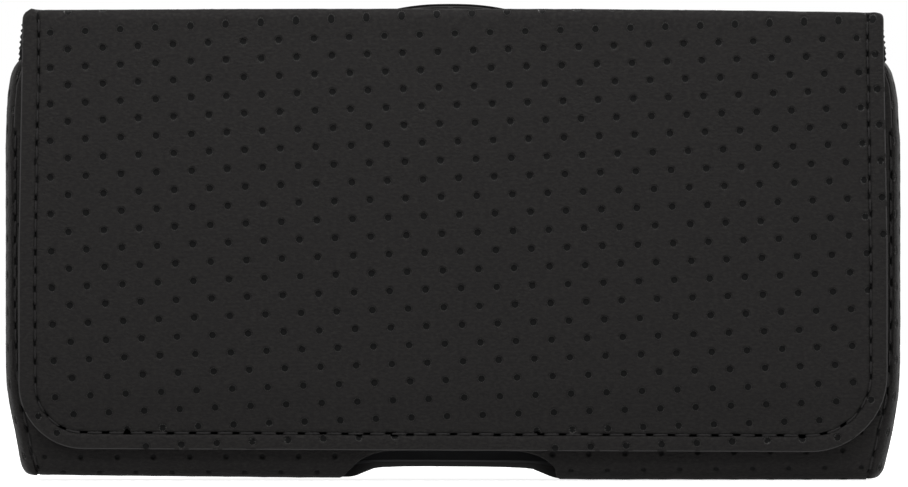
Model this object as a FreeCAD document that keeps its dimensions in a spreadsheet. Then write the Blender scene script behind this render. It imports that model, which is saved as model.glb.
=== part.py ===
"""Horizontal phone pouch for a belt.

One sheet of perforated leather folds round the back, the bottom and the front of the pocket, and a
second stretch of it is the flap, which folds over the top and hinges at the rear of that fold. Both
are a sandwich of leather, board and lining. Bulging gussets and elastic close the sides. A sprung
clip and two strap loops sit on the back.

The frame: X runs across the front, +Z is up and the front faces -Y. The origin is the middle of the
bottom of the whole object's box. All lengths are in millimetres.
"""
import FreeCAD, Part
import math
import os

import Sketcher
from FreeCAD import Rotation, Vector

SIZES = [
    ("panel_width", 161.6, "front and back panel, from seam to seam"),
    ("foot_draw", 3.3, "how far each side of the panels draws in at the bottom"),
    ("foot_taper", 12.6, "height over which the panels draw in"),
    ("case_height", 88.2, "bottom to the top of the flap's fold"),
    ("cavity_depth", 13.0, "room for the phone, front to back"),
    ("mouth_drop", 8.7, "top edge of the front panel below the top of the case"),
    ("top_fold", 5.0, "outer radius of the two folds over the top"),
    ("foot_fold", 3.6, "outer radius of the two folds at the bottom"),
    ("leather", 1.3, "perforated cover"),
    ("board", 1.0, "stiffener between cover and lining"),
    ("lining", 0.7, "soft lining"),
    ("flap_clearance", 0.5, "flap lining to front panel when shut"),
    ("flap_overhang", 0.5, "flap past the panel, each side"),
    ("flap_top_draw", 0.7, "how far each side of the flap draws in at the top fold"),
    ("flap_waist", 43.0, "height from which the flap has its full width"),
    ("flap_foot", 5.8, "height of the flap's lower edge"),
    ("flap_round_left", 12.2, "lower left corner of the flap"),
    ("flap_round_right", 14.5, "lower right corner of the flap"),
    ("hinge_gap", 0.3, "flap to pocket at the hinge line"),
    ("hinge_flat", 1.0, "level leather between the rear fold and the hinge line"),
    ("gusset_leather", 1.0, "side gusset"),
    ("gusset_bulge", 3.1, "how far the side gusset stands past the seam"),
    ("gusset_edge", 0.4, "gusset's edge behind the panel's face"),
    ("gusset_full_foot", 18.0, "height from which the gusset has its full bulge"),
    ("gusset_full_drop", 15.5, "height below the mouth up to which it keeps it"),
    ("shoulder_rise", 15.0, "height over which the shoulder rounds off"),
    ("elastic_thickness", 1.2, "elastic strip"),
    ("elastic_foot", 15.0, "lower end of the elastic"),
    ("elastic_drop", 5.1, "upper end of the elastic, at the back, below the top of the case"),
    ("elastic_stand", 0.5, "ribs of the elastic past the panel, each side"),
    ("elastic_play", 0.2, "elastic to what is beside it"),
    ("rib_pitch", 1.1, "one rib of the elastic to the next"),
    ("rib_rise", 0.35, "height of a rib"),
    ("seam_inset", 3.1, "flap's stitch line from its edge"),
    ("seam_groove", 0.9, "width of the line that the thread pulls in"),
    ("seam_depth", 0.35, "depth of that line"),
    ("stitch_pitch", 3.6, "needle hole to needle hole"),
    ("stitch_break", 0.9, "bare leather between two stitches"),
    ("thread", 0.55, "thickness of the sewing thread"),
    ("side_seam_inset", 0.9, "panel's side seam from the panel's edge"),
    ("side_seam_drop", 2.0, "top of the side seam's stitches below the gusset's full bulge"),
    ("mouth_seam_inset", 3.0, "hem seam below the mouth"),
    ("dot_across", 6.63, "dots along a row"),
    ("dot_down", 6.83, "every second row"),
    ("dot_tilt", 2.34, "degrees that the rows rise to the right"),
    ("dot_lean", 1.41, "degrees that the columns lean"),
    ("dot_start_x", 1.3, "one dot's place across"),
    ("dot_start_height", 42.7, "the same dot's height"),
    ("dot_width", 1.25, "across a dot"),
    ("dot_depth", 0.55, "depth of a dot"),
    ("dot_margin", 0.8, "bare leather between a dot and an edge or a seam"),
    ("notch_rear_width", 37.2, "push-up notch at the bottom, rear outline"),
    ("notch_rear_top_width", 27.8, "the same at its top"),
    ("notch_rear_rise", 2.5, "height of the rear outline"),
    ("notch_front_width", 39.8, "front outline at the bottom"),
    ("notch_front_top_width", 24.6, "the same at its top"),
    ("notch_front_rise", 5.4, "height of the front outline"),
    ("magnet_width", 16.0, "closing magnet, a flat bar"),
    ("magnet_depth", 9.0, "the same bar's height"),
    ("magnet_spread", 90.0, "between the two closing magnets"),
    ("magnet_height", 20.0, "height of the magnets"),
    ("magnet_play", 0.1, "magnet in its window"),
    ("clip_shift", -0.5, "clip's centre from the pouch's"),
    ("clip_width", 34.0, "steel leaf of the clip"),
    ("clip_rise", 1.4, "top of the clip's arched tab above the case"),
    ("clip_foot", 30.0, "lower tip of the clip"),
    ("clip_arch", 55.0, "radius of the arched tab"),
    ("clip_corner", 6.0, "lower corners of the clip"),
    ("clip_steel", 1.0, "sheet steel of leaf and base plate"),
    ("clip_cover_thickness", 0.9, "leather on the outside of the leaf"),
    ("clip_lining_thickness", 0.6, "leather on the inside of the leaf"),
    ("clip_border", 2.0, "leather past the steel"),
    ("belt_gap", 5.6, "room for the belt behind the leaf"),
    ("belt_gap_foot", 45.0, "height at which the leaf turns in"),
    ("jaw_height", 37.0, "height at which the leaf meets the plate"),
    ("jaw_play", 0.4, "leaf to plate there"),
    ("lip_rise", 2.4, "how far the tip flares out again"),
    ("pivot_drop", 12.2, "clip's pin below the top of the case"),
    ("pivot_stand_off", 2.8, "pin's centre from the base plate's face"),
    ("pin_width", 2.5, "pin"),
    ("pin_play", 0.05, "pin in its ears, all round"),
    ("pin_head", 4.2, "head of the pin"),
    ("pin_head_thickness", 0.8, "the same, along the pin"),
    ("ear_inner", 11.0, "base ear's inner face from the clip's middle"),
    ("ear_play", 0.3, "ear to ear, and ear to head"),
    ("ear_width", 4.8, "ear across the pin"),
    ("ear_round", 2.2, "corners of an ear's nose"),
    ("plate_width", 28.0, "base plate"),
    ("plate_foot", 33.0, "lower edge of the base plate"),
    ("plate_drop", 7.2, "upper edge of the base plate below the top of the case"),
    ("plate_corner", 3.0, "how much each corner of the base plate is clipped"),
    ("rivet_width", 3.2, "shank of a rivet"),
    ("rivet_head", 6.0, "head of a rivet"),
    ("rivet_head_rise", 0.9, "height of that head"),
    ("rivet_inset", 10.0, "lower rivet above the plate's lower edge"),
    ("rivet_drop", 16.0, "upper rivet below the plate's upper edge"),
    ("rivet_play", 0.02, "rivet in its hole, all round"),
    ("spring_wire", 0.7, "wire of the torsion spring"),
    ("spring_coil", 3.7, "spring across its coil's middle"),
    ("spring_turns", 5.0, "turns of the spring"),
    ("spring_pitch", 0.95, "turn to turn"),
    ("spring_leg", 6.5, "leg of the spring above the pin"),
    ("loop_width", 24.0, "strap loop"),
    ("loop_thickness", 1.6, "strap"),
    ("loop_spread", 98.0, "between the loops' middles"),
    ("loop_foot", 13.0, "lower end of a loop"),
    ("loop_drop", 10.2, "upper end of a loop below the top of the case"),
    ("loop_sewn", 9.0, "length of strap that is sewn down"),
    ("loop_ramp", 5.0, "height over which it rises off the back"),
    ("loop_gap", 5.2, "room for the belt behind a loop"),
]

doc = FreeCAD.newDocument("PhonePouch")
sheet = doc.addObject("Spreadsheet::Sheet", "Sizes")


class Term:
    """A length worked out from the sheet: its value now, and the expression that keeps it in step."""

    def __init__(self, value, text):
        self.value = float(value)
        self.text = text

    def __add__(self, other):
        other = as_term(other)
        return Term(self.value + other.value, "({} + {})".format(self.text, other.text))

    def __sub__(self, other):
        other = as_term(other)
        return Term(self.value - other.value, "({} - {})".format(self.text, other.text))

    def __mul__(self, other):
        other = as_term(other)
        return Term(self.value * other.value, "({} * {})".format(self.text, other.text))

    def __truediv__(self, other):
        other = as_term(other)
        return Term(self.value / other.value, "({} / {})".format(self.text, other.text))

    def __neg__(self):
        return Term(-self.value, "(-1 * {})".format(self.text))

    def root(self):
        return Term(math.sqrt(self.value), "sqrt({})".format(self.text))


def as_term(value):
    """Lets a plain number stand beside named sizes."""
    if isinstance(value, Term):
        return value
    return Term(value, "{:.9g}".format(value) if value >= 0 else "({:.9g})".format(value))


def fill_sheet():
    """Writes the driving sizes to the sheet, one row each: meaning, value and alias."""
    terms = {}
    for row, (alias, value, meaning) in enumerate(SIZES, start=1):
        sheet.set("A{}".format(row), meaning)
        sheet.set("B{}".format(row), str(value))
        sheet.setAlias("B{}".format(row), alias)
    doc.recompute()
    for alias, _value, _meaning in SIZES:
        terms[alias] = Term(sheet.get(alias), "Sizes." + alias)
    return terms


S = fill_sheet()

# Sizes that follow from the sheet's, so that pieces that belong together stay together.
S["flap_width"] = S["panel_width"] + S["flap_overhang"] * 2
S["flap_top_width"] = S["flap_width"] - S["flap_top_draw"] * 2
S["foot_width"] = S["panel_width"] - S["foot_draw"] * 2
S["elastic_width"] = S["panel_width"] + S["elastic_stand"] * 2
S["mouth_height"] = S["case_height"] - S["mouth_drop"]
S["gusset_full_top"] = S["mouth_height"] - S["gusset_full_drop"]
S["side_seam_top"] = S["gusset_full_top"] - S["side_seam_drop"]
S["elastic_top"] = S["case_height"] - S["elastic_drop"]
S["clip_top"] = S["case_height"] + S["clip_rise"]
S["pivot_height"] = S["case_height"] - S["pivot_drop"]
S["plate_top"] = S["case_height"] - S["plate_drop"]
S["rivet_lower"] = S["plate_foot"] + S["rivet_inset"]
S["rivet_upper"] = S["plate_top"] - S["rivet_drop"]
S["loop_top"] = S["case_height"] - S["loop_drop"]

# Places along Y, from the flap's face at the front to the clip's back.
PANEL = S["leather"] + S["board"] + S["lining"]
CLIP_STACK = S["clip_lining_thickness"] + S["clip_steel"] + S["clip_cover_thickness"]
CLIP_DEPTH = S["clip_steel"] + S["belt_gap"] + CLIP_STACK
POUCH_DEPTH = PANEL * 2 + S["cavity_depth"]
TOTAL_DEPTH = PANEL + S["flap_clearance"] + POUCH_DEPTH + CLIP_DEPTH
FLAP_FACE = -TOTAL_DEPTH / 2
FRONT_FACE = FLAP_FACE + PANEL + S["flap_clearance"]
BACK_FACE = FRONT_FACE + POUCH_DEPTH
POUCH_MIDDLE = FRONT_FACE + POUCH_DEPTH / 2
HINGE_LINE = BACK_FACE - S["top_fold"] - S["hinge_flat"]

# Half widths across X.
HALF_PANEL = S["panel_width"] / 2
HALF_FOOT = S["foot_width"] / 2
HALF_FLAP = S["flap_width"] / 2
HALF_FLAP_TOP = S["flap_top_width"] / 2
NOTHING = as_term(0)
OVERRUN = as_term(5)


def new_sketch(body, name, plane, offset=None):
    """A sketch on one of the body's own origin planes, moved along that plane's normal."""
    result = body.newObject("Sketcher::SketchObject", name)
    base = next(item for item in body.Origin.OriginFeatures if item.Role == plane)
    result.AttachmentSupport = [(base, "")]
    result.MapMode = "FlatFace"
    if offset is not None:
        result.AttachmentOffset = FreeCAD.Placement(Vector(0, 0, offset.value), Rotation())
        result.setExpression("AttachmentOffset.Base.z", offset.text)
    return result


def hold(sketch, kind, *arguments):
    """Adds a constraint whose last argument is a term, and binds it to the sheet."""
    size = arguments[-1]
    number = sketch.addConstraint(Sketcher.Constraint(kind, *arguments[:-1], size.value))
    sketch.setExpression("Constraints[{}]".format(number), size.text)


def toward(start, end):
    """Unit step from one corner to the next, for edges that run along an axis."""
    dx = end[0].value - start[0].value
    dy = end[1].value - start[1].value
    length = math.hypot(dx, dy)
    return dx / length, dy / length


def outline(sketch, corners):
    """Draws a closed outline through corners (x, y) or (x, y, radius).

    A corner with a radius is a right angle between edges that run along the axes.
    """
    points = []
    arcs = []
    for index, corner in enumerate(corners):
        if len(corner) == 2:
            points.append(corner)
            continue
        x, y, radius = corner
        came = toward(corners[index - 1], corner)
        goes = toward(corner, corners[(index + 1) % len(corners)])
        points.append((x - radius * round(came[0]), y - radius * round(came[1])))
        arcs.append((len(points) - 1, came, goes, radius))
        points.append((x + radius * round(goes[0]), y + radius * round(goes[1])))
    round_from = {entry[0]: entry for entry in arcs}
    ends = []
    for index, (x, y) in enumerate(points):
        start = Vector(x.value, y.value, 0)
        after = points[(index + 1) % len(points)]
        stop = Vector(after[0].value, after[1].value, 0)
        if index not in round_from:
            number = sketch.addGeometry(Part.LineSegment(start, stop), False)
            ends.append((number, 1, 2))
            continue
        _index, came, goes, radius = round_from[index]
        centre = start + Vector(goes[0], goes[1], 0) * radius.value
        turns_left = came[0] * goes[1] - came[1] * goes[0] > 0
        first, last = (start, stop) if turns_left else (stop, start)
        angles = [math.atan2(p.y - centre.y, p.x - centre.x) for p in (first, last)]
        circle = Part.Circle(centre, Vector(0, 0, 1), radius.value)
        number = sketch.addGeometry(Part.ArcOfCircle(circle, angles[0], angles[1]), False)
        ends.append((number, 1, 2) if turns_left else (number, 2, 1))
        hold(sketch, "Radius", number, radius)
    for index, (number, start_end, stop_end) in enumerate(ends):
        after = ends[(index + 1) % len(ends)]
        sketch.addConstraint(Sketcher.Constraint("Coincident", number, stop_end, after[0], after[1]))
        hold(sketch, "DistanceX", -1, 1, number, start_end, points[index][0])
        hold(sketch, "DistanceY", -1, 1, number, start_end, points[index][1])


def circle_in(sketch, x, y, radius):
    """Adds a circle held by its centre and radius."""
    number = sketch.addGeometry(
        Part.Circle(Vector(x.value, y.value, 0), Vector(0, 0, 1), radius.value), False)
    hold(sketch, "DistanceX", -1, 1, number, 3, x)
    hold(sketch, "DistanceY", -1, 1, number, 3, y)
    hold(sketch, "Radius", number, radius)


def new_body(label):
    """A body whose label names its file."""
    body = doc.addObject("PartDesign::Body", label)
    body.Label = label
    return body


def pad(body, sketch, length, side="Symmetric", reverse=False):
    """Pads a sketch, to both sides of its plane or to one."""
    feature = body.newObject("PartDesign::Pad", sketch.Name + "_pad")
    feature.Profile = sketch
    feature.SideType = side
    feature.Reversed = reverse
    feature.Length = length.value
    feature.setExpression("Length", length.text)
    body.Tip = feature
    return feature


def pocket(body, sketch, length=None, reverse=False):
    """Cuts a sketch right through both ways, or to a depth on one side of its plane."""
    feature = body.newObject("PartDesign::Pocket", sketch.Name + "_pocket")
    feature.Profile = sketch
    if length is None:
        feature.SideType = "Symmetric"
        feature.Type = "ThroughAll"
    else:
        feature.SideType = "One side"
        feature.Length = length.value
        feature.setExpression("Length", length.text)
        feature.Reversed = reverse
    body.Tip = feature
    return feature


def round_edges(body, name, places, radius):
    """Rounds the edges that run along Y and pass through the given X, Z places."""
    doc.recompute()
    base = body.Tip
    names = []
    for x, z in places:
        best = None
        for number, edge in enumerate(base.Shape.Edges, start=1):
            first, last = edge.Vertexes[0].Point, edge.Vertexes[-1].Point
            if abs(first.x - last.x) > 0.01 or abs(first.z - last.z) > 0.01:
                continue
            if abs(first.y - last.y) < 0.01:
                continue
            far = math.hypot(first.x - x.value, first.z - z.value)
            if best is None or far < best[0]:
                best = (far, "Edge{}".format(number))
        names.append(best[1])
    feature = body.newObject("PartDesign::Fillet", name)
    feature.Base = (base, names)
    feature.Radius = radius.value
    feature.setExpression("Radius", radius.text)
    body.Tip = feature


def folded_profile(corners, offset, thickness):
    """One layer of a folded sheet, seen from the side.

    Each corner is (y, z, way in along y, way in along z, radius or None); the layer lies between
    offset and offset + thickness inside the sheet's outer face.
    """
    outer = []
    inner = []
    for y, z, in_y, in_z, radius in corners:
        near = (y + offset * in_y, z + offset * in_z)
        deep = offset + thickness
        far = (y + deep * in_y, z + deep * in_z)
        outer.append(near if radius is None else near + (radius - offset,))
        inner.append(far if radius is None else far + (radius - deep,))
    return outer + inner[::-1]


def flap_path():
    return [
        (HINGE_LINE - S["hinge_gap"], S["case_height"], 0, -1, None),
        (FLAP_FACE, S["case_height"], 1, -1, S["top_fold"]),
        (FLAP_FACE, S["flap_foot"], 1, 0, None),
    ]


def pouch_path():
    return [
        (HINGE_LINE, S["case_height"], 0, -1, None),
        (BACK_FACE, S["case_height"], -1, -1, S["top_fold"]),
        (BACK_FACE, NOTHING, -1, 1, S["foot_fold"]),
        (FRONT_FACE, NOTHING, 1, 1, S["foot_fold"]),
        (FRONT_FACE, S["mouth_height"], 1, 0, None),
    ]


def keep_inside(body, name, corners):
    """Trims a body, seen from the front, to an outline of corners (x, z)."""
    sketch = new_sketch(body, name, "XZ_Plane")
    reach = HALF_FLAP + HALF_PANEL
    top = S["case_height"] + OVERRUN * 2
    outline(sketch, [(-reach, -OVERRUN), (reach, -OVERRUN), (reach, top), (-reach, top)])
    outline(sketch, corners)
    pocket(body, sketch)


def flap_corners():
    """The flap's outline from the front, open past the top."""
    above = S["case_height"] + OVERRUN
    return [
        (-HALF_FLAP_TOP, above), (-HALF_FLAP_TOP, S["case_height"]), (-HALF_FLAP, S["flap_waist"]),
        (-HALF_FLAP, S["flap_foot"]), (HALF_FLAP, S["flap_foot"]), (HALF_FLAP, S["flap_waist"]),
        (HALF_FLAP_TOP, S["case_height"]), (HALF_FLAP_TOP, above),
    ]


def pouch_corners():
    """The panels' outline from the front, which draws in towards the bottom."""
    above = S["case_height"] + OVERRUN
    slope = (HALF_PANEL - HALF_FOOT) / S["foot_taper"]
    below = HALF_FOOT - slope * OVERRUN / 2
    return [
        (-HALF_PANEL, above), (-HALF_PANEL, S["foot_taper"]), (-below, -OVERRUN / 2),
        (below, -OVERRUN / 2), (HALF_PANEL, S["foot_taper"]), (HALF_PANEL, above),
    ]


def flap_layer(label, offset, thickness):
    """One layer of the flap: the folded profile, trimmed and rounded at its lower corners."""
    body = new_body(label)
    profile = new_sketch(body, label + "_profile", "YZ_Plane")
    outline(profile, folded_profile(flap_path(), offset, thickness))
    pad(body, profile, S["flap_width"] + OVERRUN)
    keep_inside(body, label + "_outline", flap_corners())
    round_edges(body, label + "_left", [(-HALF_FLAP, S["flap_foot"])], S["flap_round_left"])
    round_edges(body, label + "_right", [(HALF_FLAP, S["flap_foot"])], S["flap_round_right"])
    return body


def notch(body, label):
    """The push-up notch: through the fold at the bottom, and higher in the front panel."""
    rear = new_sketch(body, label + "_notch", "XZ_Plane")
    foot = S["notch_rear_width"] / 2
    top = S["notch_rear_top_width"] / 2
    rise = S["notch_rear_rise"]
    outline(rear, [(-foot, -OVERRUN), (foot, -OVERRUN), (foot, NOTHING), (top, rise), (-top, rise),
                   (-foot, NOTHING)])
    pocket(body, rear)
    front = new_sketch(body, label + "_front_notch", "XZ_Plane", -(FRONT_FACE - OVERRUN / 5))
    foot = S["notch_front_width"] / 2
    top = S["notch_front_top_width"] / 2
    rise = S["notch_front_rise"]
    outline(front, [(-foot, -OVERRUN), (foot, -OVERRUN), (foot, NOTHING), (top, rise), (-top, rise),
                    (-foot, NOTHING)])
    pocket(body, front, PANEL + S["cavity_depth"] + OVERRUN / 5)


def pouch_layer(label, offset, thickness):
    """One layer of the pocket's folded sheet, trimmed, with the notch cut."""
    body = new_body(label)
    profile = new_sketch(body, label + "_profile", "YZ_Plane")
    outline(profile, folded_profile(pouch_path(), offset, thickness))
    pad(body, profile, S["panel_width"] + OVERRUN)
    keep_inside(body, label + "_outline", pouch_corners())
    notch(body, label)
    return body


def magnet_windows(body, label, near_face, far_face):
    """Windows for the two magnets, between two places along Y."""
    sketch = new_sketch(body, label + "_windows", "XZ_Plane", -near_face)
    for side in (-1, 1):
        outline(sketch, magnet_corners(side, S["magnet_play"]))
    pocket(body, sketch, far_face - near_face)


def magnet_corners(side, grow):
    """Corners of one magnet's bar, grown by a clearance."""
    middle = S["magnet_spread"] / 2 * side
    half = S["magnet_width"] / 2 + grow
    tall = S["magnet_depth"] / 2 + grow
    low = S["magnet_height"] - tall
    high = S["magnet_height"] + tall
    return [(middle - half, low), (middle + half, low), (middle + half, high), (middle - half, high)]


def magnets(label, near_face, thickness):
    """Two flat bar magnets, at the same place in the flap and in the front panel."""
    body = new_body(label)
    sketch = new_sketch(body, label + "_profile", "XZ_Plane", -near_face)
    for side in (-1, 1):
        outline(sketch, magnet_corners(side, NOTHING))
    body.AllowCompound = True
    pad(body, sketch, thickness, "One side", True)
    return body


def seam_groove(body):
    """The line that the thread pulls into the flap's face, round three sides."""
    half = S["seam_groove"] / 2
    outer = HALF_FLAP - S["seam_inset"] + half
    inner = outer - S["seam_groove"]
    low = S["flap_foot"] + S["seam_inset"] - half
    high = low + S["seam_groove"]
    top = S["case_height"] - S["top_fold"]
    left = S["flap_round_left"] - S["seam_inset"] + half
    right = S["flap_round_right"] - S["seam_inset"] + half
    sketch = new_sketch(body, "flap_seam_groove", "XZ_Plane", -FLAP_FACE)
    outline(sketch, [
        (-outer, top), (-outer, low, left), (outer, low, right), (outer, top),
        (inner, top), (inner, high, right - S["seam_groove"]),
        (-inner, high, left - S["seam_groove"]), (-inner, top),
    ])
    pocket(body, sketch, S["seam_depth"])


def dot_places():
    """Places of the dots on the flat front of the flap, in a staggered lattice that is turned a little."""
    tilt = math.radians(S["dot_tilt"].value)
    lean = math.radians(S["dot_lean"].value)
    across = Vector(math.cos(tilt), 0, math.sin(tilt)) * S["dot_across"].value
    down = Vector(math.sin(lean), 0, -math.cos(lean)) * S["dot_down"].value
    start = Vector(S["dot_start_x"].value, 0, S["dot_start_height"].value)
    reach = int(S["flap_width"].value / min(S["dot_across"].value, S["dot_down"].value)) + 1
    places = []
    for row in range(-reach, reach + 1):
        for column in range(-reach, reach + 1):
            for half in (0, 0.5):
                places.append(start + across * (column + half) + down * (row + half))
    return [place for place in places if dot_fits(place.x, place.z)]


def dot_fits(x, z):
    """Whether a dot lies on the flat front, clear of the seam line, the edge and the fold."""
    clear = (S["dot_width"] / 2 + S["dot_margin"]).value
    groove = (S["seam_groove"] / 2).value
    top = (S["case_height"] - S["top_fold"]).value - clear
    inset = S["seam_inset"].value
    depth = inside_flap(x, z)
    if z > top or depth < clear:
        return False
    return abs(depth - inset) > clear + groove or depth < inset - clear - groove


def inside_flap(x, z):
    """How far a place on the front lies inside the flap's side and lower edges."""
    radius = (S["flap_round_left"] if x < 0 else S["flap_round_right"]).value
    side = HALF_FLAP.value - abs(x)
    foot = z - S["flap_foot"].value
    if side < radius and foot < radius:
        return radius - math.hypot(radius - side, radius - foot)
    return min(side, foot)


def dot_cutter(place):
    """A three-sided cutter that is as large as the dot at the leather's face and ends in a point."""
    proud = 0.25
    half = S["dot_width"].value * 0.66 * (1 + proud)
    face = FLAP_FACE.value
    front = face - S["dot_depth"].value * proud
    tip = Vector(place.x, face + S["dot_depth"].value, place.z)
    ring = [Vector(place.x + half * dx, front, place.z + half * dz)
            for dx, dz in ((0.866, 0.5), (-0.866, 0.5), (0, -1))]
    faces = [Part.Face(Part.makePolygon(ring + ring[:1]))]
    for index in range(3):
        side = [ring[index], ring[(index + 1) % 3], tip]
        faces.append(Part.Face(Part.makePolygon(side + side[:1])))
    return Part.makeSolid(Part.makeShell(faces))


def perforated(label, body):
    """Cuts the dots into the flap's leather."""
    body.Label = label + "_sheet"
    dots = doc.addObject("Part::Feature", label + "_dots")
    dots.Shape = Part.makeCompound([dot_cutter(place) for place in dot_places()])
    cut = doc.addObject("Part::Cut", label)
    cut.Base = body
    cut.Tool = dots
    cut.Label = label
    return cut


def stitch_bar(middle, along, normal, length, width, depth):
    """One stitch: a three-sided bar of thread with its ridge at middle, laid along one direction."""
    side = normal.cross(along)
    start = middle - along * (length / 2)
    foot = start - normal * depth
    ring = [foot - side * (width / 2), foot + side * (width / 2), start]
    return Part.Face(Part.makePolygon(ring + ring[:1])).extrude(along * length)


def stitch_row(start, end, normal, depth, pitch=None):
    """Stitches in a straight row from start to end."""
    pitch = pitch or S["stitch_pitch"].value
    length = (end - start).Length
    count = max(1, round(length / pitch))
    step = (end - start) / count
    along = (end - start).normalize()
    size = step.Length - S["stitch_break"].value
    return [stitch_bar(start + step * (index + 0.5), along, normal, size, S["thread"].value, depth)
            for index in range(count)]


def stitch_arc(centre, radius, first, last, normal, depth):
    """Stitches round a corner in the XZ plane, from one angle to another in degrees."""
    sweep = math.radians(last - first)
    count = max(1, round(abs(sweep) * radius / S["stitch_pitch"].value))
    bars = []
    for index in range(count):
        angle = math.radians(first) + sweep * (index + 0.5) / count
        out = Vector(math.cos(angle), 0, math.sin(angle))
        along = Vector(-math.sin(angle), 0, math.cos(angle))
        size = abs(sweep) * radius / count - S["stitch_break"].value
        bars.append(stitch_bar(centre + out * radius, along, normal, size, S["thread"].value, depth))
    return bars


def thread_node(label, bars):
    """A node of thread: the stitches of one seam, as separate solids."""
    feature = doc.addObject("Part::Feature", label)
    feature.Label = label
    feature.Shape = Part.makeCompound(bars)
    return feature


def flap_stitching():
    """The seam round the flap, which lies in its groove, level with the leather."""
    forward = Vector(0, -1, 0)
    face = FLAP_FACE.value
    depth = S["seam_depth"].value
    half = (HALF_FLAP - S["seam_inset"]).value
    low = (S["flap_foot"] + S["seam_inset"]).value
    top = (S["case_height"] - S["top_fold"]).value
    left = (S["flap_round_left"] - S["seam_inset"]).value
    right = (S["flap_round_right"] - S["seam_inset"]).value
    bars = stitch_row(Vector(-half, face, top), Vector(-half, face, low + left), forward, depth)
    bars += stitch_arc(Vector(-half + left, face, low + left), left, 180, 270, forward, depth)
    bars += stitch_row(Vector(-half + left, face, low), Vector(half - right, face, low), forward, depth)
    bars += stitch_arc(Vector(half - right, face, low + right), right, 270, 360, forward, depth)
    bars += stitch_row(Vector(half, face, low + right), Vector(half, face, top), forward, depth)
    return thread_node("flap_stitching", bars)


def side_seam(label, side):
    """The seam that joins the front panel to a gusset, just inside the panel's edge."""
    forward = Vector(0, -1, 0)
    proud = S["thread"].value / 2
    face = FRONT_FACE.value - proud
    inset = S["side_seam_inset"].value
    slope = (HALF_PANEL.value - HALF_FOOT.value) / S["foot_taper"].value
    low = S["foot_fold"].value
    corner = Vector(side * (HALF_PANEL.value - inset), face, S["foot_taper"].value)
    foot = Vector(side * (HALF_PANEL.value - inset - slope * (S["foot_taper"].value - low)), face, low)
    top = Vector(corner.x, face, S["side_seam_top"].value)
    bars = stitch_row(foot, corner, forward, proud) + stitch_row(corner, top, forward, proud)
    return thread_node(label, bars)


def mouth_stitching():
    """The hem seam below the pocket's mouth."""
    proud = S["thread"].value / 2
    face = FRONT_FACE.value - proud
    half = (HALF_PANEL - S["seam_inset"] * 2).value
    height = (S["mouth_height"] - S["mouth_seam_inset"]).value
    return thread_node("mouth_stitching", stitch_row(
        Vector(-half, face, height), Vector(half, face, height), Vector(0, -1, 0), proud))


def bow(sketch, x, half, rise):
    """A section of the gusset: a straight side at x and an arc that stands out by rise, either way."""
    outward = 1 if rise.value > 0 else -1
    radius = (half * half + rise * rise) / (rise * 2) * outward
    low = POUCH_MIDDLE - half
    high = POUCH_MIDDLE + half
    line = sketch.addGeometry(Part.LineSegment(
        Vector(x.value, low.value, 0), Vector(x.value, high.value, 0)), False)
    centre = Vector(x.value + rise.value - outward * radius.value, POUCH_MIDDLE.value, 0)
    angle = math.asin(min(1.0, half.value / radius.value))
    turn = 0 if outward > 0 else math.pi
    arc = sketch.addGeometry(Part.ArcOfCircle(
        Part.Circle(centre, Vector(0, 0, 1), radius.value), turn - angle, turn + angle), False)
    first, last = (low, high) if outward > 0 else (high, low)
    line_first, line_last = (1, 2) if outward > 0 else (2, 1)
    sketch.addConstraint(Sketcher.Constraint("Coincident", line, line_first, arc, 1))
    sketch.addConstraint(Sketcher.Constraint("Coincident", line, line_last, arc, 2))
    hold(sketch, "DistanceX", -1, 1, arc, 1, x)
    hold(sketch, "DistanceY", -1, 1, arc, 1, first)
    hold(sketch, "DistanceX", -1, 1, arc, 2, x)
    hold(sketch, "DistanceY", -1, 1, arc, 2, last)
    hold(sketch, "Radius", arc, radius)


def gusset_sections(wall):
    """Heights of the gusset's sections with their seam, half depth and bulge; wall moves them inward."""
    slope = (HALF_PANEL - HALF_FOOT) / S["foot_taper"]
    half = POUCH_DEPTH / 2 - S["gusset_edge"] - wall
    bulge = S["gusset_bulge"] - wall
    hollow = wall.value > 0
    sections = []
    for share, fullness in ((0.1, 0.71), (0.35, 0.87), (1.0, 0.96)):
        if hollow and share < 0.3:
            continue
        height = S["foot_fold"] * share
        if hollow and share < 1.0:
            height = height + wall
        rest = S["foot_fold"] - height
        drop = S["foot_fold"] - (S["foot_fold"] * S["foot_fold"] - rest * rest).root()
        sections.append((height, HALF_FOOT + slope * height, half - drop,
                         S["gusset_bulge"] * fullness - wall))
    sections.append((S["foot_taper"], HALF_PANEL, half, S["gusset_bulge"] * 0.86 - wall))
    sections.append((S["gusset_full_foot"], HALF_PANEL, half, bulge))
    sections.append((S["gusset_full_top"], HALF_PANEL, half, bulge))
    rise = S["shoulder_rise"] - wall
    for angle in (30, 50, 65, 80):
        height = S["gusset_full_top"] + rise * math.sin(math.radians(angle))
        sections.append((height, HALF_PANEL, half, bulge * math.cos(math.radians(angle))))
    return sections


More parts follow.
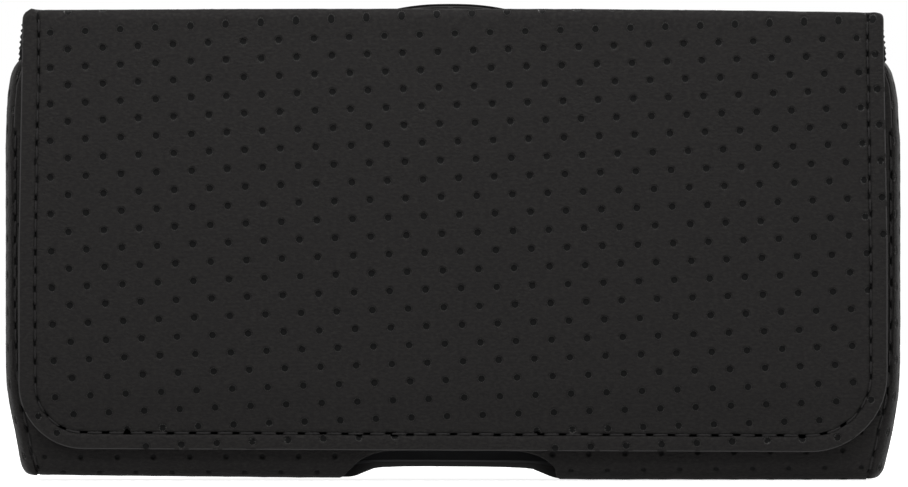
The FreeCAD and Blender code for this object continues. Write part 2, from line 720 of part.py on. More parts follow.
def gusset(label, side):
    """A side gusset: a bulging shell, closed at its foot and shoulder, open to the pocket."""
    body = new_body(label)
    sketches = []
    for number, (height, seam, half, rise) in enumerate(gusset_sections(NOTHING)):
        sketch = new_sketch(body, "{}_outer_{}".format(label, number), "XY_Plane", height)
        bow(sketch, seam * side, half, rise * side)
        sketches.append(sketch)
    outer = body.newObject("PartDesign::AdditiveLoft", label + "_loft")
    outer.Profile = sketches[0]
    outer.Sections = sketches[1:]
    outer.Ruled = True
    body.Tip = outer
    sketches = []
    for number, (height, seam, half, rise) in enumerate(gusset_sections(S["gusset_leather"])):
        sketch = new_sketch(body, "{}_inner_{}".format(label, number), "XY_Plane", height)
        past = S["gusset_leather"] / 2
        bow(sketch, (seam - past) * side, half, (rise + past) * side)
        sketches.append(sketch)
    inner = body.newObject("PartDesign::SubtractiveLoft", label + "_hollow")
    inner.Profile = sketches[0]
    inner.Sections = sketches[1:]
    inner.Ruled = True
    body.Tip = inner
    return body


def elastic(label, side):
    """An elastic strip inside a gusset, with ribs where it shows above the shoulder."""
    body = new_body(label)
    play = S["elastic_play"]
    thick = S["elastic_thickness"] - S["rib_rise"]
    outer = S["elastic_width"] / 2 - S["rib_rise"]
    lower = HALF_PANEL - play
    neck = S["gusset_full_top"] + S["shoulder_rise"]
    flare = neck + play
    bend = flare - play
    profile = new_sketch(body, label + "_profile", "XZ_Plane", -(POUCH_MIDDLE))
    points = [(lower, S["elastic_foot"]), (lower, bend), (outer, flare), (outer, S["elastic_top"]),
              (outer - thick, S["elastic_top"]), (outer - thick, flare), (lower - thick, bend),
              (lower - thick, S["elastic_foot"])]
    outline(profile, [(x * side, z) for x, z in points])
    pad(body, profile, S["cavity_depth"])
    rib = new_sketch(body, label + "_rib", "XZ_Plane", -(POUCH_MIDDLE))
    low = flare + S["rib_pitch"] * 0.1
    tooth = S["rib_pitch"] * 0.8
    outline(rib, [(outer * side, low), ((outer + S["rib_rise"]) * side, low + tooth * 0.25),
                  ((outer + S["rib_rise"]) * side, low + tooth * 0.75), (outer * side, low + tooth)])
    ridge = pad(body, rib, S["cavity_depth"])
    count = int((S["elastic_top"].value - flare.value) / S["rib_pitch"].value)
    rows = body.newObject("PartDesign::LinearPattern", label + "_ribs")
    rows.Originals = [ridge]
    rows.Direction = (rib, ["V_Axis"])
    rows.Occurrences = count
    rows.Length = (S["rib_pitch"] * (count - 1)).value
    rows.setExpression("Length", (S["rib_pitch"] * (count - 1)).text)
    body.Tip = rows
    slope = new_sketch(body, label + "_slope", "YZ_Plane")
    front = POUCH_MIDDLE - S["cavity_depth"] / 2
    back = POUCH_MIDDLE + S["cavity_depth"] / 2
    outline(slope, [(front - OVERRUN, S["mouth_height"]), (front, S["mouth_height"]),
                    (back, S["elastic_top"]), (back, S["elastic_top"] + OVERRUN),
                    (front - OVERRUN, S["elastic_top"] + OVERRUN)])
    pocket(body, slope)
    return body


def clip_path():
    """The inner face of the clip's stack from the side: tab, straight run, jaw and flared tip."""
    stand = BACK_FACE + S["clip_steel"] + S["belt_gap"]
    jaw = BACK_FACE + S["clip_steel"] + S["jaw_play"]
    return [
        (stand, S["clip_top"]), (stand, S["belt_gap_foot"]), (jaw, S["jaw_height"]),
        (jaw + S["lip_rise"], S["clip_foot"]),
    ]


def clip_layer(label, offset, thickness, border):
    """One layer of the clip's leaf; the leather layers reach past the steel by border."""
    body = new_body(label)
    path = clip_path()
    shrink = S["clip_border"] - border
    tip = path[-1][1] + shrink
    flare = S["lip_rise"] * (S["jaw_height"] - tip) / (S["jaw_height"] - S["clip_foot"])
    ends = [(path[0][0], path[0][1] - shrink)] + path[1:-1] + [(path[-2][0] + flare, tip)]
    profile = new_sketch(body, label + "_profile", "YZ_Plane", S["clip_shift"])
    near = [(y + offset, z) for y, z in ends]
    far = [(y + offset + thickness, z) for y, z in ends]
    outline(profile, near + far[::-1])
    half = S["clip_width"] / 2 + border
    pad(body, profile, half * 2)
    arch = new_sketch(body, label + "_arch", "XZ_Plane")
    arched_end(arch, half, S["clip_top"] - shrink, S["clip_arch"] - shrink)
    pocket(body, arch)
    foot = S["clip_foot"] + shrink
    corner = S["clip_corner"]
    for side in (-1, 1):
        cutter = new_sketch(body, "{}_corner_{}".format(label, side + 1), "XZ_Plane")
        edge = S["clip_shift"] + half * side
        beyond = edge + OVERRUN * side
        outline(cutter, [(edge - corner * side, foot), (edge, foot + corner), (beyond, foot + corner),
                         (beyond, foot - OVERRUN), (edge - corner * side, foot - OVERRUN)])
        pocket(body, cutter)
    return body


def arched_end(sketch, half, top, radius):
    """A region above an arc whose crown is at top, wide enough to trim a strip of the given half width."""
    reach = half + OVERRUN / 5
    drop = radius - (radius * radius - reach * reach).root()
    middle = S["clip_shift"]
    low = top - drop
    above = top + OVERRUN
    corners = [(middle + reach, low), (middle + reach, above), (middle - reach, above),
               (middle - reach, low)]
    numbers = []
    for start, stop in zip(corners, corners[1:]):
        numbers.append(sketch.addGeometry(Part.LineSegment(
            Vector(start[0].value, start[1].value, 0), Vector(stop[0].value, stop[1].value, 0)), False))
    for first, second in zip(numbers, numbers[1:]):
        sketch.addConstraint(Sketcher.Constraint("Coincident", first, 2, second, 1))
    for number, corner in zip(numbers, corners):
        hold(sketch, "DistanceX", -1, 1, number, 1, corner[0])
        hold(sketch, "DistanceY", -1, 1, number, 1, corner[1])
    hold(sketch, "DistanceX", -1, 1, numbers[-1], 2, corners[-1][0])
    hold(sketch, "DistanceY", -1, 1, numbers[-1], 2, corners[-1][1])
    centre = Vector(middle.value, top.value - radius.value, 0)
    first = math.atan2(corners[0][1].value - centre.y, corners[0][0].value - centre.x)
    last = math.atan2(corners[-1][1].value - centre.y, corners[-1][0].value - centre.x)
    arc = sketch.addGeometry(Part.ArcOfCircle(
        Part.Circle(centre, Vector(0, 0, 1), radius.value), first, last), False)
    sketch.addConstraint(Sketcher.Constraint("Coincident", arc, 1, numbers[0], 1))
    sketch.addConstraint(Sketcher.Constraint("Coincident", arc, 2, numbers[-1], 2))
    hold(sketch, "Radius", arc, radius)


def pivot_place():
    return BACK_FACE + S["clip_steel"] + S["pivot_stand_off"], S["pivot_height"]


def ears(body, label, inner, root_face, toward_back):
    """Two ears that stand on a plate and take the pin, one each side of the clip's middle."""
    y, z = pivot_place()
    half = S["ear_width"] / 2
    nose = y + half * toward_back
    for side in (-1, 1):
        near = S["clip_shift"] + inner * side
        if side < 0:
            near = near - S["clip_steel"]
        sketch = new_sketch(body, "{}_ear_{}".format(label, side + 1), "YZ_Plane", near)
        curve = S["ear_round"]
        corners = [(root_face, z - half), (nose, z - half, curve), (nose, z + half, curve),
                   (root_face, z + half)]
        outline(sketch, corners)
        pad(body, sketch, S["clip_steel"], "One side")
    bore = new_sketch(body, label + "_bore", "YZ_Plane")
    circle_in(bore, y, z, S["pin_width"] / 2 + S["pin_play"])
    pocket(body, bore)


def clip_leaf():
    """The steel leaf: the shaped strip with two ears bent forward to the pin."""
    body = clip_layer("clip_leaf", S["clip_lining_thickness"], S["clip_steel"], NOTHING)
    inner = S["ear_inner"] + S["clip_steel"] + S["ear_play"]
    ears(body, "clip_leaf", inner, BACK_FACE + S["clip_steel"] + S["belt_gap"]
         + S["clip_lining_thickness"], -1)
    return body


def clip_lining():
    """The inner leather of the leaf, with slots for the leaf's two ears."""
    body = clip_layer("clip_lining", NOTHING, S["clip_lining_thickness"], S["clip_border"])
    sketch = new_sketch(body, "clip_lining_slots", "XZ_Plane")
    z = S["pivot_height"]
    half = S["ear_width"] / 2 + S["ear_play"]
    inner = S["ear_inner"] + S["clip_steel"]
    outer = inner + S["clip_steel"] + S["ear_play"] * 2
    for side in (-1, 1):
        near = S["clip_shift"] + inner * side
        far = S["clip_shift"] + outer * side
        outline(sketch, [(near, z - half), (far, z - half), (far, z + half), (near, z + half)])
    pocket(body, sketch)
    return body


def rivet_places():
    return [(S["clip_shift"], height) for height in (S["rivet_lower"], S["rivet_upper"])]


def rivet_holes(body, label):
    sketch = new_sketch(body, label + "_rivet_holes", "XZ_Plane", -(BACK_FACE - PANEL))
    for x, z in rivet_places():
        circle_in(sketch, x, z, S["rivet_width"] / 2 + S["rivet_play"])
    pocket(body, sketch, PANEL + S["clip_steel"] + OVERRUN)


def plate_corners(grow):
    half = S["plate_width"] / 2 + grow
    cut = half - S["plate_corner"]
    low = S["plate_foot"] - grow
    high = S["plate_top"] + grow
    step = S["plate_corner"]
    middle = S["clip_shift"]
    return [(middle - cut, low), (middle + cut, low), (middle + half, low + step),
            (middle + half, high - step), (middle + cut, high), (middle - cut, high),
            (middle - half, high - step), (middle - half, low + step)]


def clip_base_plate():
    """The plate riveted to the back, with two ears for the pin."""
    body = new_body("clip_base_plate")
    sketch = new_sketch(body, "base_plate_outline", "XZ_Plane", -BACK_FACE)
    outline(sketch, plate_corners(NOTHING))
    pad(body, sketch, S["clip_steel"], "One side", True)
    ears(body, "clip_base_plate", S["ear_inner"], BACK_FACE + S["clip_steel"] / 2, 1)
    rivet_holes(body, "clip_base_plate")
    return body


def clip_backing_plate():
    """The plate that spreads the rivets' load, let into the board of the back panel."""
    body = new_body("clip_backing_plate")
    face = BACK_FACE - S["leather"] - S["board"]
    sketch = new_sketch(body, "backing_plate_outline", "XZ_Plane", -face)
    outline(sketch, plate_corners(NOTHING))
    pad(body, sketch, S["board"], "One side", True)
    rivet_holes(body, "clip_backing_plate")
    return body


def clip_rivets():
    """Two flat-headed rivets on the base plate, level with the backing plate inside."""
    body = new_body("clip_rivets")
    body.AllowCompound = True
    inside = BACK_FACE - S["leather"] - S["board"]
    shank = new_sketch(body, "rivet_shanks", "XZ_Plane", -inside)
    head = new_sketch(body, "rivet_heads", "XZ_Plane", -(BACK_FACE + S["clip_steel"]))
    for x, z in rivet_places():
        circle_in(shank, x, z, S["rivet_width"] / 2)
        circle_in(head, x, z, S["rivet_head"] / 2)
    pad(body, shank, S["leather"] + S["board"] + S["clip_steel"] + S["rivet_head_rise"] / 2,
        "One side", True)
    pad(body, head, S["rivet_head_rise"], "One side", True)
    return body


def clip_pin():
    """The hinge pin, with a head outside each of the leaf's ears."""
    body = new_body("clip_pin")
    y, z = pivot_place()
    inner = S["ear_inner"] + S["clip_steel"] * 2 + S["ear_play"] * 2
    shaft = new_sketch(body, "pin_shaft", "YZ_Plane", S["clip_shift"])
    circle_in(shaft, y, z, S["pin_width"] / 2)
    pad(body, shaft, inner * 2)
    for side in (-1, 1):
        place = S["clip_shift"] + inner * side
        if side < 0:
            place = place - S["pin_head_thickness"]
        head = new_sketch(body, "pin_head_{}".format(side + 1), "YZ_Plane", place)
        circle_in(head, y, z, S["pin_head"] / 2)
        pad(body, head, S["pin_head_thickness"], "One side")
    return body


def clip_spring():
    """A torsion spring round the pin: a coil with one leg towards the plate and one towards the tab."""
    y, z = pivot_place()
    radius = S["spring_coil"].value / 2
    wire = S["spring_wire"].value / 2
    pitch = S["spring_pitch"].value
    turns = round(S["spring_turns"].value) + 0.5
    start_x = S["clip_shift"].value - pitch * turns / 2
    leg = Vector(0, 0, S["spring_leg"].value)
    steps = 8
    points = []
    for index in range(int(turns * steps) + 1):
        angle = math.pi + 2 * math.pi * index / steps
        points.append(Vector(start_x + pitch * index / steps, y.value + radius * math.cos(angle),
                             z.value + radius * math.sin(angle)))
    points = [points[0] + leg] + points + [points[-1] + leg]
    ring = [points[0] + Vector(math.cos(corner * math.pi / 3), math.sin(corner * math.pi / 3), 0) * wire
            for corner in range(6)]
    feature = doc.addObject("Part::Feature", "clip_spring")
    feature.Label = "clip_spring"
    section = Part.makePolygon(ring + ring[:1])
    feature.Shape = Part.makePolygon(points).makePipeShell([section], True, False, 1)
    return feature


def belt_loop(label, side):
    """A strap sewn down at both ends and lifted off the back between them."""
    body = new_body(label)
    thick = S["loop_thickness"]
    gap = S["loop_gap"]
    foot, top = S["loop_foot"], S["loop_top"]
    sewn, ramp = S["loop_sewn"], S["loop_ramp"]
    profile = new_sketch(body, label + "_profile", "YZ_Plane", S["loop_spread"] / 2 * side)
    back = BACK_FACE
    outline(profile, [
        (back, foot), (back + thick, foot), (back + thick, foot + sewn - thick / 2),
        (back + gap + thick, foot + sewn + ramp - thick / 2),
        (back + gap + thick, top - sewn - ramp + thick / 2), (back + thick, top - sewn + thick / 2),
        (back + thick, top), (back, top), (back, top - sewn), (back + gap, top - sewn - ramp),
        (back + gap, foot + sewn + ramp), (back, foot + sewn),
    ])
    pad(body, profile, S["loop_width"])
    return body


def loop_stitching(label, side):
    """A square of stitches with a cross at each end of a strap loop."""
    backward = Vector(0, 1, 0)
    proud = S["thread"].value / 2
    face = (BACK_FACE + S["loop_thickness"]).value + proud
    middle = (S["loop_spread"] / 2 * side).value
    inset = 2.2
    half = S["loop_width"].value / 2 - inset
    tall = S["loop_sewn"].value - inset * 1.5
    bars = []
    for low in (S["loop_foot"].value + inset / 2, S["loop_top"].value - inset / 2 - tall):
        frame = [Vector(middle + half * dx, face, low + tall * dz)
                 for dx, dz in ((-1, 0), (1, 0), (1, 1), (-1, 1))]
        for start, end in zip(frame, frame[1:] + frame[:1]):
            inward = (end - start).normalize() * S["thread"].value
            bars += stitch_row(start + inward, end - inward, backward, proud)
    return thread_node(label, bars)


def build_flap():
    """The flap's layers, from the outside in, with magnets and the seam."""
    cover = flap_layer("flap_cover", NOTHING, S["leather"])
    seam_groove(cover)
    flap_cover = perforated("flap_cover", cover)
    stiffener = flap_layer("flap_stiffener", S["leather"], S["board"])
    near = FLAP_FACE + S["leather"]
    magnet_windows(stiffener, "flap_stiffener", near, near + S["board"])
    lining = flap_layer("flap_lining", S["leather"] + S["board"], S["lining"])
    return [flap_cover, stiffener, lining, magnets("flap_magnets", near, S["board"]), flap_stitching()]


def build_pouch():
    """The pocket's layers, gussets, elastic, magnets and seams."""
    cover = pouch_layer("pouch_cover", NOTHING, S["leather"])
    rivet_holes(cover, "pouch_cover")
    stiffener = pouch_layer("pouch_stiffener", S["leather"], S["board"])
    near = FRONT_FACE + S["leather"]
    magnet_windows(stiffener, "pouch_stiffener", near, near + S["board"])
    window = new_sketch(stiffener, "pouch_stiffener_window", "XZ_Plane",
                        -(BACK_FACE - S["leather"] - S["board"]))
    outline(window, plate_corners(S["magnet_play"]))
    pocket(stiffener, window, S["board"])
    lining = pouch_layer("pouch_lining", S["leather"] + S["board"], S["lining"])
    nodes = [cover, stiffener, lining, magnets("pouch_magnets", near, S["board"]), mouth_stitching()]
    for name, side in (("left", -1), ("right", 1)):
        nodes += [gusset("gusset_" + name, side), elastic("elastic_" + name, side),
                  side_seam("seam_" + name, side)]
    return nodes


def build_back():
    """The belt clip and the strap loops."""
    nodes = [clip_base_plate(), clip_backing_plate(), clip_rivets(), clip_pin(), clip_spring(),
             clip_leaf(), clip_lining(),
             clip_layer("clip_cover", S["clip_lining_thickness"] + S["clip_steel"],
                        S["clip_cover_thickness"], S["clip_border"])]
    for name, side in (("left", -1), ("right", 1)):
        nodes += [belt_loop("belt_loop_" + name, side), loop_stitching("loop_stitching_" + name, side)]
    return nodes


def check_and_write(nodes):
    """Stops on a failed object or shape, then writes one file for each node."""
    doc.recompute()
    for item in doc.Objects:
        if "Invalid" in item.State or "Error" in item.State:
            raise RuntimeError("{} did not build: {}".format(item.Name, item.State))
    for node in nodes:
        if node.Shape.isNull() or not node.Shape.isValid() or node.Shape.Volume <= 0:
            raise RuntimeError("{} has no valid solid".format(node.Label))
    os.makedirs("parts", exist_ok=True)
    for node in nodes:
        node.Shape.exportStep("parts/{}.step".format(node.Label))
        print("{:24s} {:10.2f} mm3  {} solids".format(node.Label, node.Shape.Volume, len(node.Shape.Solids)))


check_and_write(build_flap() + build_pouch() + build_back())
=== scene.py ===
"""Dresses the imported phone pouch: perforated leather, seams, elastic, belt clip and strap loops.

Laid out as a Blender add-on, and run as a script. Shapes are worked out in millimetres, in the frame of
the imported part: X across the front, +Z up, the flap's face towards -Y.
"""

import math

import bpy
import numpy as np
from bpy.props import FloatProperty, FloatVectorProperty, PointerProperty
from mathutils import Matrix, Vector, noise
from mathutils.geometry import delaunay_2d_cdt
from mathutils.kdtree import KDTree


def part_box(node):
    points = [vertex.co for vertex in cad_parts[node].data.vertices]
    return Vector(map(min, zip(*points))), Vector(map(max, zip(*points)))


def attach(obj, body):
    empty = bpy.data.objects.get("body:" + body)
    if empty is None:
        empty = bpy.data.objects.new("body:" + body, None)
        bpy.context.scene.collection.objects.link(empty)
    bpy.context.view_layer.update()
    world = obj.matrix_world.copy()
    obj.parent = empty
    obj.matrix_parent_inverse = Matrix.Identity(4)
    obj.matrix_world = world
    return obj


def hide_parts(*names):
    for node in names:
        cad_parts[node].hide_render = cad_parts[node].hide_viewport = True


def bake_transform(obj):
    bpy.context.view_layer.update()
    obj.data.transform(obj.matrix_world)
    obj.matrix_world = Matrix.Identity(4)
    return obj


bl_info = {
    "name": "Phone Pouch",
    "version": (1, 0, 0),
    "blender": (4, 5, 0),
    "location": "3D View > Sidebar > Pouch",
    "description": "Builds the visible pieces of a leather belt pouch around its packed frame",
    "category": "Object",
}

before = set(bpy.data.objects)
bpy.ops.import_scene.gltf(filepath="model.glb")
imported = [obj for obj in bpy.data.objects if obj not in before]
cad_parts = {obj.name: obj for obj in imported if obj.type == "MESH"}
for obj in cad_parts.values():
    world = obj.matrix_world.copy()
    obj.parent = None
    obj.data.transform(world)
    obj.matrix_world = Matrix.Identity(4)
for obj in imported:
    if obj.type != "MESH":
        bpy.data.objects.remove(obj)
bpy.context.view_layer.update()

LOW, HIGH = 0, 1
X, Y, Z = 0, 1, 2
PHOTO_WIDTH = 908
PHOTO_HEIGHT = 487
PIXELS_PER_MM = 5.345


def face(node, side, axis):
    """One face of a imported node's box, in millimetres."""
    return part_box(node)[side][axis] * 1000


def linear(code):
    """An sRGB hex colour as the linear colour that shaders use."""
    values = []
    for start in (0, 2, 4):
        share = int(code[start:start + 2], 16) / 255
        values.append(share / 12.92 if share <= 0.04045 else ((share + 0.055) / 1.055) ** 2.4)
    return tuple(values)


# Settings that a user would change

def length(name, millimetres, description):
    """A size in the sidebar, kept in metres."""
    return FloatProperty(name=name, description=description, default=millimetres / 1000, min=0.0,
                         unit="LENGTH", subtype="DISTANCE", precision=5)


def tint(name, code, description):
    """A colour in the sidebar."""
    return FloatVectorProperty(name=name, description=description, default=linear(code), min=0.0,
                               max=1.0, subtype="COLOR", size=3)


class PouchSizes(bpy.types.PropertyGroup):
    """Sizes of the pouch that only its looks depend on."""
    leather: length("Leather", 1.3, "Thickness of the perforated leather")
    padding: length("Padding", 1.0, "Thickness of the board and padding")
    lining: length("Lining", 0.7, "Thickness of the lining")
    top_fold: length("Top fold", 5.0, "Outer radius of the folds over the top")
    foot_fold: length("Foot fold", 3.6, "Outer radius of the folds at the bottom")
    mouth: length("Mouth", 79.5, "Height of the pocket's front edge")
    dot_width: length("Dot", 1.5, "Width of a pressed dot")
    dot_depth: length("Dot depth", 0.42, "Depth of a pressed dot")
    edge_round: length("Edge round", 0.22, "Width of the painted, rounded cut edge")
    dot_across: length("Dots across", 6.63, "From dot to dot along a row")
    dot_down: length("Dots down", 6.83, "From a row to the next row but one")
    thread: length("Thread", 0.36, "Thickness of the sewing thread")
    seam_inset: length("Seam inset", 3.1, "From the flap's edge to its seam")
    side_stitch: length("Side stitch", 3.38, "Needle hole to needle hole at the flap's sides")
    foot_stitch: length("Foot stitch", 4.1, "Needle hole to needle hole along the flap's foot")


class PouchColours(bpy.types.PropertyGroup):
    """Colours of the pouch's materials."""
    leather: tint("Leather", "201F1F", "Pressed leather")
    # The lighter leather colour is a painted highlight, on the grain's raised creases and on the dots' rims
    leather_worn: tint("Leather, high", "282726", "Leather where the grain stands high")
    # Near-black floors of the dots and needle holes: a painted shade for the holes' depth
    dot_floor: tint("Dots", "090909", "Floor of the pressed dots")
    # Lighter than the leather: edge paint that also paints a highlight line along the cut edge
    edge_paint_highlight: tint("Edge paint", "343333", "Paint on the leather's cut edges")
    # Base of the smooth leather; the plain leather colour is painted on its ridges as a highlight
    smooth: tint("Smooth leather", "1A1919", "Clip and loops")
    thread: tint("Thread", "242323", "Sewing thread")
    elastic: tint("Elastic", "0B0B0B", "Ribbed elastic")
    lining: tint("Lining", "2C2C2E", "Lining")
    steel: tint("Steel", "B7B3AC", "Nickel plating")


def sizes():
    return bpy.context.scene.pouch_sizes


def mm(name):
    """A size from the sidebar, in millimetres."""
    return getattr(sizes(), name) * 1000


def colour(name):
    """A colour from the sidebar, with full alpha."""
    return tuple(getattr(bpy.context.scene.pouch_colours, name)) + (1.0,)


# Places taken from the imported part, in millimetres
FLAP_FACE = face("flap_cover", LOW, Y)
FLAP_FOOT = face("flap_cover", LOW, Z)
CASE_TOP = face("flap_cover", HIGH, Z)
FRONT_FACE = face("pouch_cover", LOW, Y)
BACK_FACE = face("pouch_cover", HIGH, Y)
HALF_PANEL = face("pouch_cover", HIGH, X)
HALF_FLAP = face("flap_cover", HIGH, X)
GUSSET_MIDDLE = (FRONT_FACE + BACK_FACE) / 2
# The visible flap ends this far down the back, past the hinge, so that its leather bends in one piece
WRAP_CUT = 8.2


# Folded sheets

def profile(y, z, heading, steps):
    """The side view of a folded sheet's outer face, as rows of start length, y, z, heading and turn.

    Each step is a run's length, or a fold's (radius, degrees), where a positive turn goes right.
    """
    rows = []
    done = 0.0
    for step in steps:
        if isinstance(step, tuple):
            radius, degrees = step
            turn = -math.copysign(1 / radius, degrees)
            size = radius * math.radians(abs(degrees))
        else:
            turn = 0.0
            size = step
        rows.append((done, y, z, heading, turn))
        after = heading + turn * size
        if turn:
            y += (math.sin(after) - math.sin(heading)) / turn
            z -= (math.cos(after) - math.cos(heading)) / turn
        else:
            y += math.cos(heading) * size
            z += math.sin(heading) * size
        heading = after
        done += size
    rows.append((done, y, z, heading, 0.0))
    return np.array(rows)


def on_profile(rows, s):
    """Points and outward normals (y, z) of a profile at lengths s."""
    s = np.asarray(s, float)
    index = np.clip(np.searchsorted(rows[:, 0], s, side="right") - 1, 0, len(rows) - 2)
    start, y, z, heading, turn = rows[index].T
    run = s - start
    straight = np.abs(turn) < 1e-9
    safe = np.where(straight, 1.0, turn)
    after = heading + turn * run
    y = y + np.where(straight, np.cos(heading) * run, (np.sin(after) - np.sin(heading)) / safe)
    z = z + np.where(straight, np.sin(heading) * run, (np.cos(heading) - np.cos(after)) / safe)
    return y, z, -np.sin(after), np.cos(after)


def wrap_profile():
    """The leather's way from the flap's foot over the top, down the back, and up to the mouth."""
    fold = mm("top_fold")
    foot = mm("foot_fold")
    quarter_up = CASE_TOP - fold
    return profile(FLAP_FACE, FLAP_FOOT, math.pi / 2, [
        quarter_up - FLAP_FOOT, (fold, 90), BACK_FACE - FLAP_FACE - fold * 2, (fold, 90),
        quarter_up - foot, (foot, 90), BACK_FACE - FRONT_FACE - foot * 2, (foot, 90),
        mm("mouth") - foot])


def wrap_places():
    """Named lengths along the wrap."""
    rows = wrap_profile()[:, 0]
    return {"front_fold": rows[1], "top": rows[2], "rear_fold": rows[3], "back": rows[4],
            "cut": rows[4] + WRAP_CUT, "foot_back": rows[5], "under": rows[6], "foot_front": rows[7],
            "front": rows[8], "mouth": rows[9]}


def top_sag(x):
    """How far the case's top edge lies below its middle: a little at the left, more at the right."""
    return np.where(x < 0, 0.25, 0.75) * (np.abs(x) / 80) ** 2


def foot_lift(x):
    """How far the case's bottom edge is lifted: the left end most."""
    return np.interp(x, [-80, -36, 19, 30], [0.9, 0.42, 0.05, 0.0])


HALF_TOP = 80.6
FOOT_HALF = 77.6
CROWN = 0.55
PRESSED_DEPTH = 0.85
PRESSED_TO = 12.5
PRESSED_RUN = 9.0
TIGHT_FOLD = 1.3
# Height and half width of the pocket's front, foot to mouth
FRONT_HALF = ((1.4, 78.5), (3.4, 78.9), (6.2, 79.7), (9.8, 80.4), (12.0, 81.0), (16.1, 81.75),
              (19.5, 82.1), (25.3, 82.35), (33.7, 82.5), (62.0, 82.5), (70.0, 82.2), (74.0, 81.8),
              (77.0, 80.9), (79.5, 79.8))


def corner_drop(x):
    """How far the folded top falls off at its two corners, the left one rounder."""
    radius = np.where(x < 0, 1.5, 0.6)
    inward = np.clip(1 - (HALF_TOP - np.abs(x)) / radius, 0, 1)
    return radius * (1 - np.sqrt(1 - inward ** 2))


def soft_form(flat):
    """How far the padded flap's face stands off the plain fold: crowned in the middle, pressed in
    toward the foot seam, and drawn tight to a small radius along the top's front edge."""
    at = wrap_places()
    x, s = flat[:, 0], flat[:, 1]
    crown = CROWN * (1 - (x / HALF_FLAP) ** 2) * np.sin(math.pi * np.clip(s / at["front_fold"], 0, 1))
    toward = np.clip((PRESSED_TO - s) / PRESSED_RUN, 0, 1)
    pressed = -PRESSED_DEPTH * toward ** 2 * (3 - 2 * toward)
    fold = mm("top_fold")
    straight = fold - TIGHT_FOLD
    turn = np.clip((s - at["front_fold"]) / (at["top"] - at["front_fold"]), 0, 1) * math.pi / 2
    cosine, sine = np.cos(turn), np.sin(turn)
    across = straight * (cosine - sine)
    rounded = np.sqrt(np.maximum(TIGHT_FOLD ** 2 - across ** 2, 0)) + straight * (cosine + sine)
    reach = np.where(sine * fold < straight * cosine, fold / np.maximum(cosine, 0.1), rounded)
    reach = np.where(cosine * fold < straight * sine, fold / np.maximum(sine, 0.1), reach)
    return crown + pressed + reach - fold


def on_wrap(flat, out):
    """Places on the wrap for flat points (x, s), raised by out along the outer normal. The flap's
    soft form shows on the outer face and fades out through the leather."""
    x, s = flat[:, 0], flat[:, 1]
    out = out + soft_form(flat) * np.clip((1.3 + out) / 0.6, 0, 1)
    y, z, ny, nz = on_profile(wrap_profile(), s)
    y = y + ny * out
    z = z + nz * out
    dropped = top_sag(x) * np.clip((z - 60) / 28, 0, 1) ** 2
    z = z - dropped - corner_drop(x) * np.clip((z - 83.5) / 4, 0, 1)
    behind = s > wrap_places()["cut"] - 1
    z = z + np.where(behind, foot_lift(x) * np.clip(1 - z / 30, 0, 1), 0)
    return np.stack([x, y, z], 1)


def front_length(z):
    """The length along the wrap at which the pocket's front has the height z."""
    at = wrap_places()
    foot = mm("foot_fold")
    if z > foot:
        return at["front"] + z - foot
    return at["foot_front"] + foot * math.acos(1 - z / foot)


def panel_half(s):
    """Half width of the wrap at length s: flap, back, and the pocket's front, which the flap hides."""
    at = wrap_places()
    waist = at["front_fold"] - 40
    table_s = [0, waist, at["front_fold"], at["rear_fold"], at["back"]]
    table_w = [HALF_FLAP, HALF_FLAP, HALF_TOP, HALF_TOP, HALF_PANEL]
    rise_to = at["foot_back"] + mm("foot_fold") - 12.6
    table_s += [rise_to, at["foot_back"] + 3.0, at["foot_front"] + 0.5]
    table_w += [HALF_PANEL, FOOT_HALF, FOOT_HALF]
    table_s += [front_length(z) for z, _half in FRONT_HALF]
    table_w += [half for _z, half in FRONT_HALF]
    return np.interp(s, table_s, table_w)


def open_line(points, step):
    """An open line with points no further apart than step."""
    points = np.array(points, float)
    result = []
    for start, stop in zip(points, points[1:]):
        count = max(1, math.ceil(np.linalg.norm(stop - start) / step))
        result += [start + (stop - start) * k / count for k in range(count)]
    return np.array(result + [points[-1]])


def densify(points, step):
    """A closed outline with points no further apart than step."""
    return open_line(list(points) + [points[0]], step)[:-1]


def corner(centre, radius, first, last, count=14):
    """Points round a corner, angles in degrees."""
    return [(centre[0] + radius * math.cos(math.radians(a)), centre[1] + radius * math.sin(math.radians(a)))
            for a in np.linspace(first, last, count)]


def distance_to(points, line, closed=False):
    """Distance from each flat point to a line of points."""
    starts = line if closed else line[:-1]
    stops = np.roll(line, -1, axis=0) if closed else line[1:]
    span = stops - starts
    size = np.maximum((span ** 2).sum(1), 1e-12)
    best = np.full(len(points), 1e9)
    for low in range(0, len(points), 4000):
        part = points[low:low + 4000, None, :] - starts[None]
        share = np.clip((part * span[None]).sum(2) / size[None], 0, 1)
        gap = part - share[..., None] * span[None]
        best[low:low + 4000] = np.sqrt((gap ** 2).sum(2).min(1))
    return best


def within(points, outline):
    """Which flat points lie inside a closed outline."""
    inside = np.zeros(len(points), bool)
    x, y = points[:, 0], points[:, 1]
    for (ax, ay), (bx, by) in zip(outline, np.roll(outline, -1, axis=0)):
        if ay == by:
            continue
        crosses = ((ay > y) != (by > y)) & (x < (bx - ax) * (y - ay) / (by - ay) + ax)
        inside ^= crosses
    return inside


def lengths_along(line):
    """The length from the line's start to each of its points."""
    return np.concatenate([[0], np.cumsum(np.linalg.norm(np.diff(line, axis=0), axis=1))])


def along_line(line, run, at):
    """Points on a flat line at lengths at, with run from lengths_along."""
    return np.stack([np.interp(at, run, line[:, 0]), np.interp(at, run, line[:, 1])], 1)


def beside(line, gap):
    """The line moved to its left by gap."""
    along = np.gradient(line, axis=0)
    along /= np.maximum(np.linalg.norm(along, axis=1), 1e-9)[:, None]
    return line + np.stack([-along[:, 1], along[:, 0]], 1) * gap


ROW_RISE = 2.34
COLUMN_LEAN = 1.41


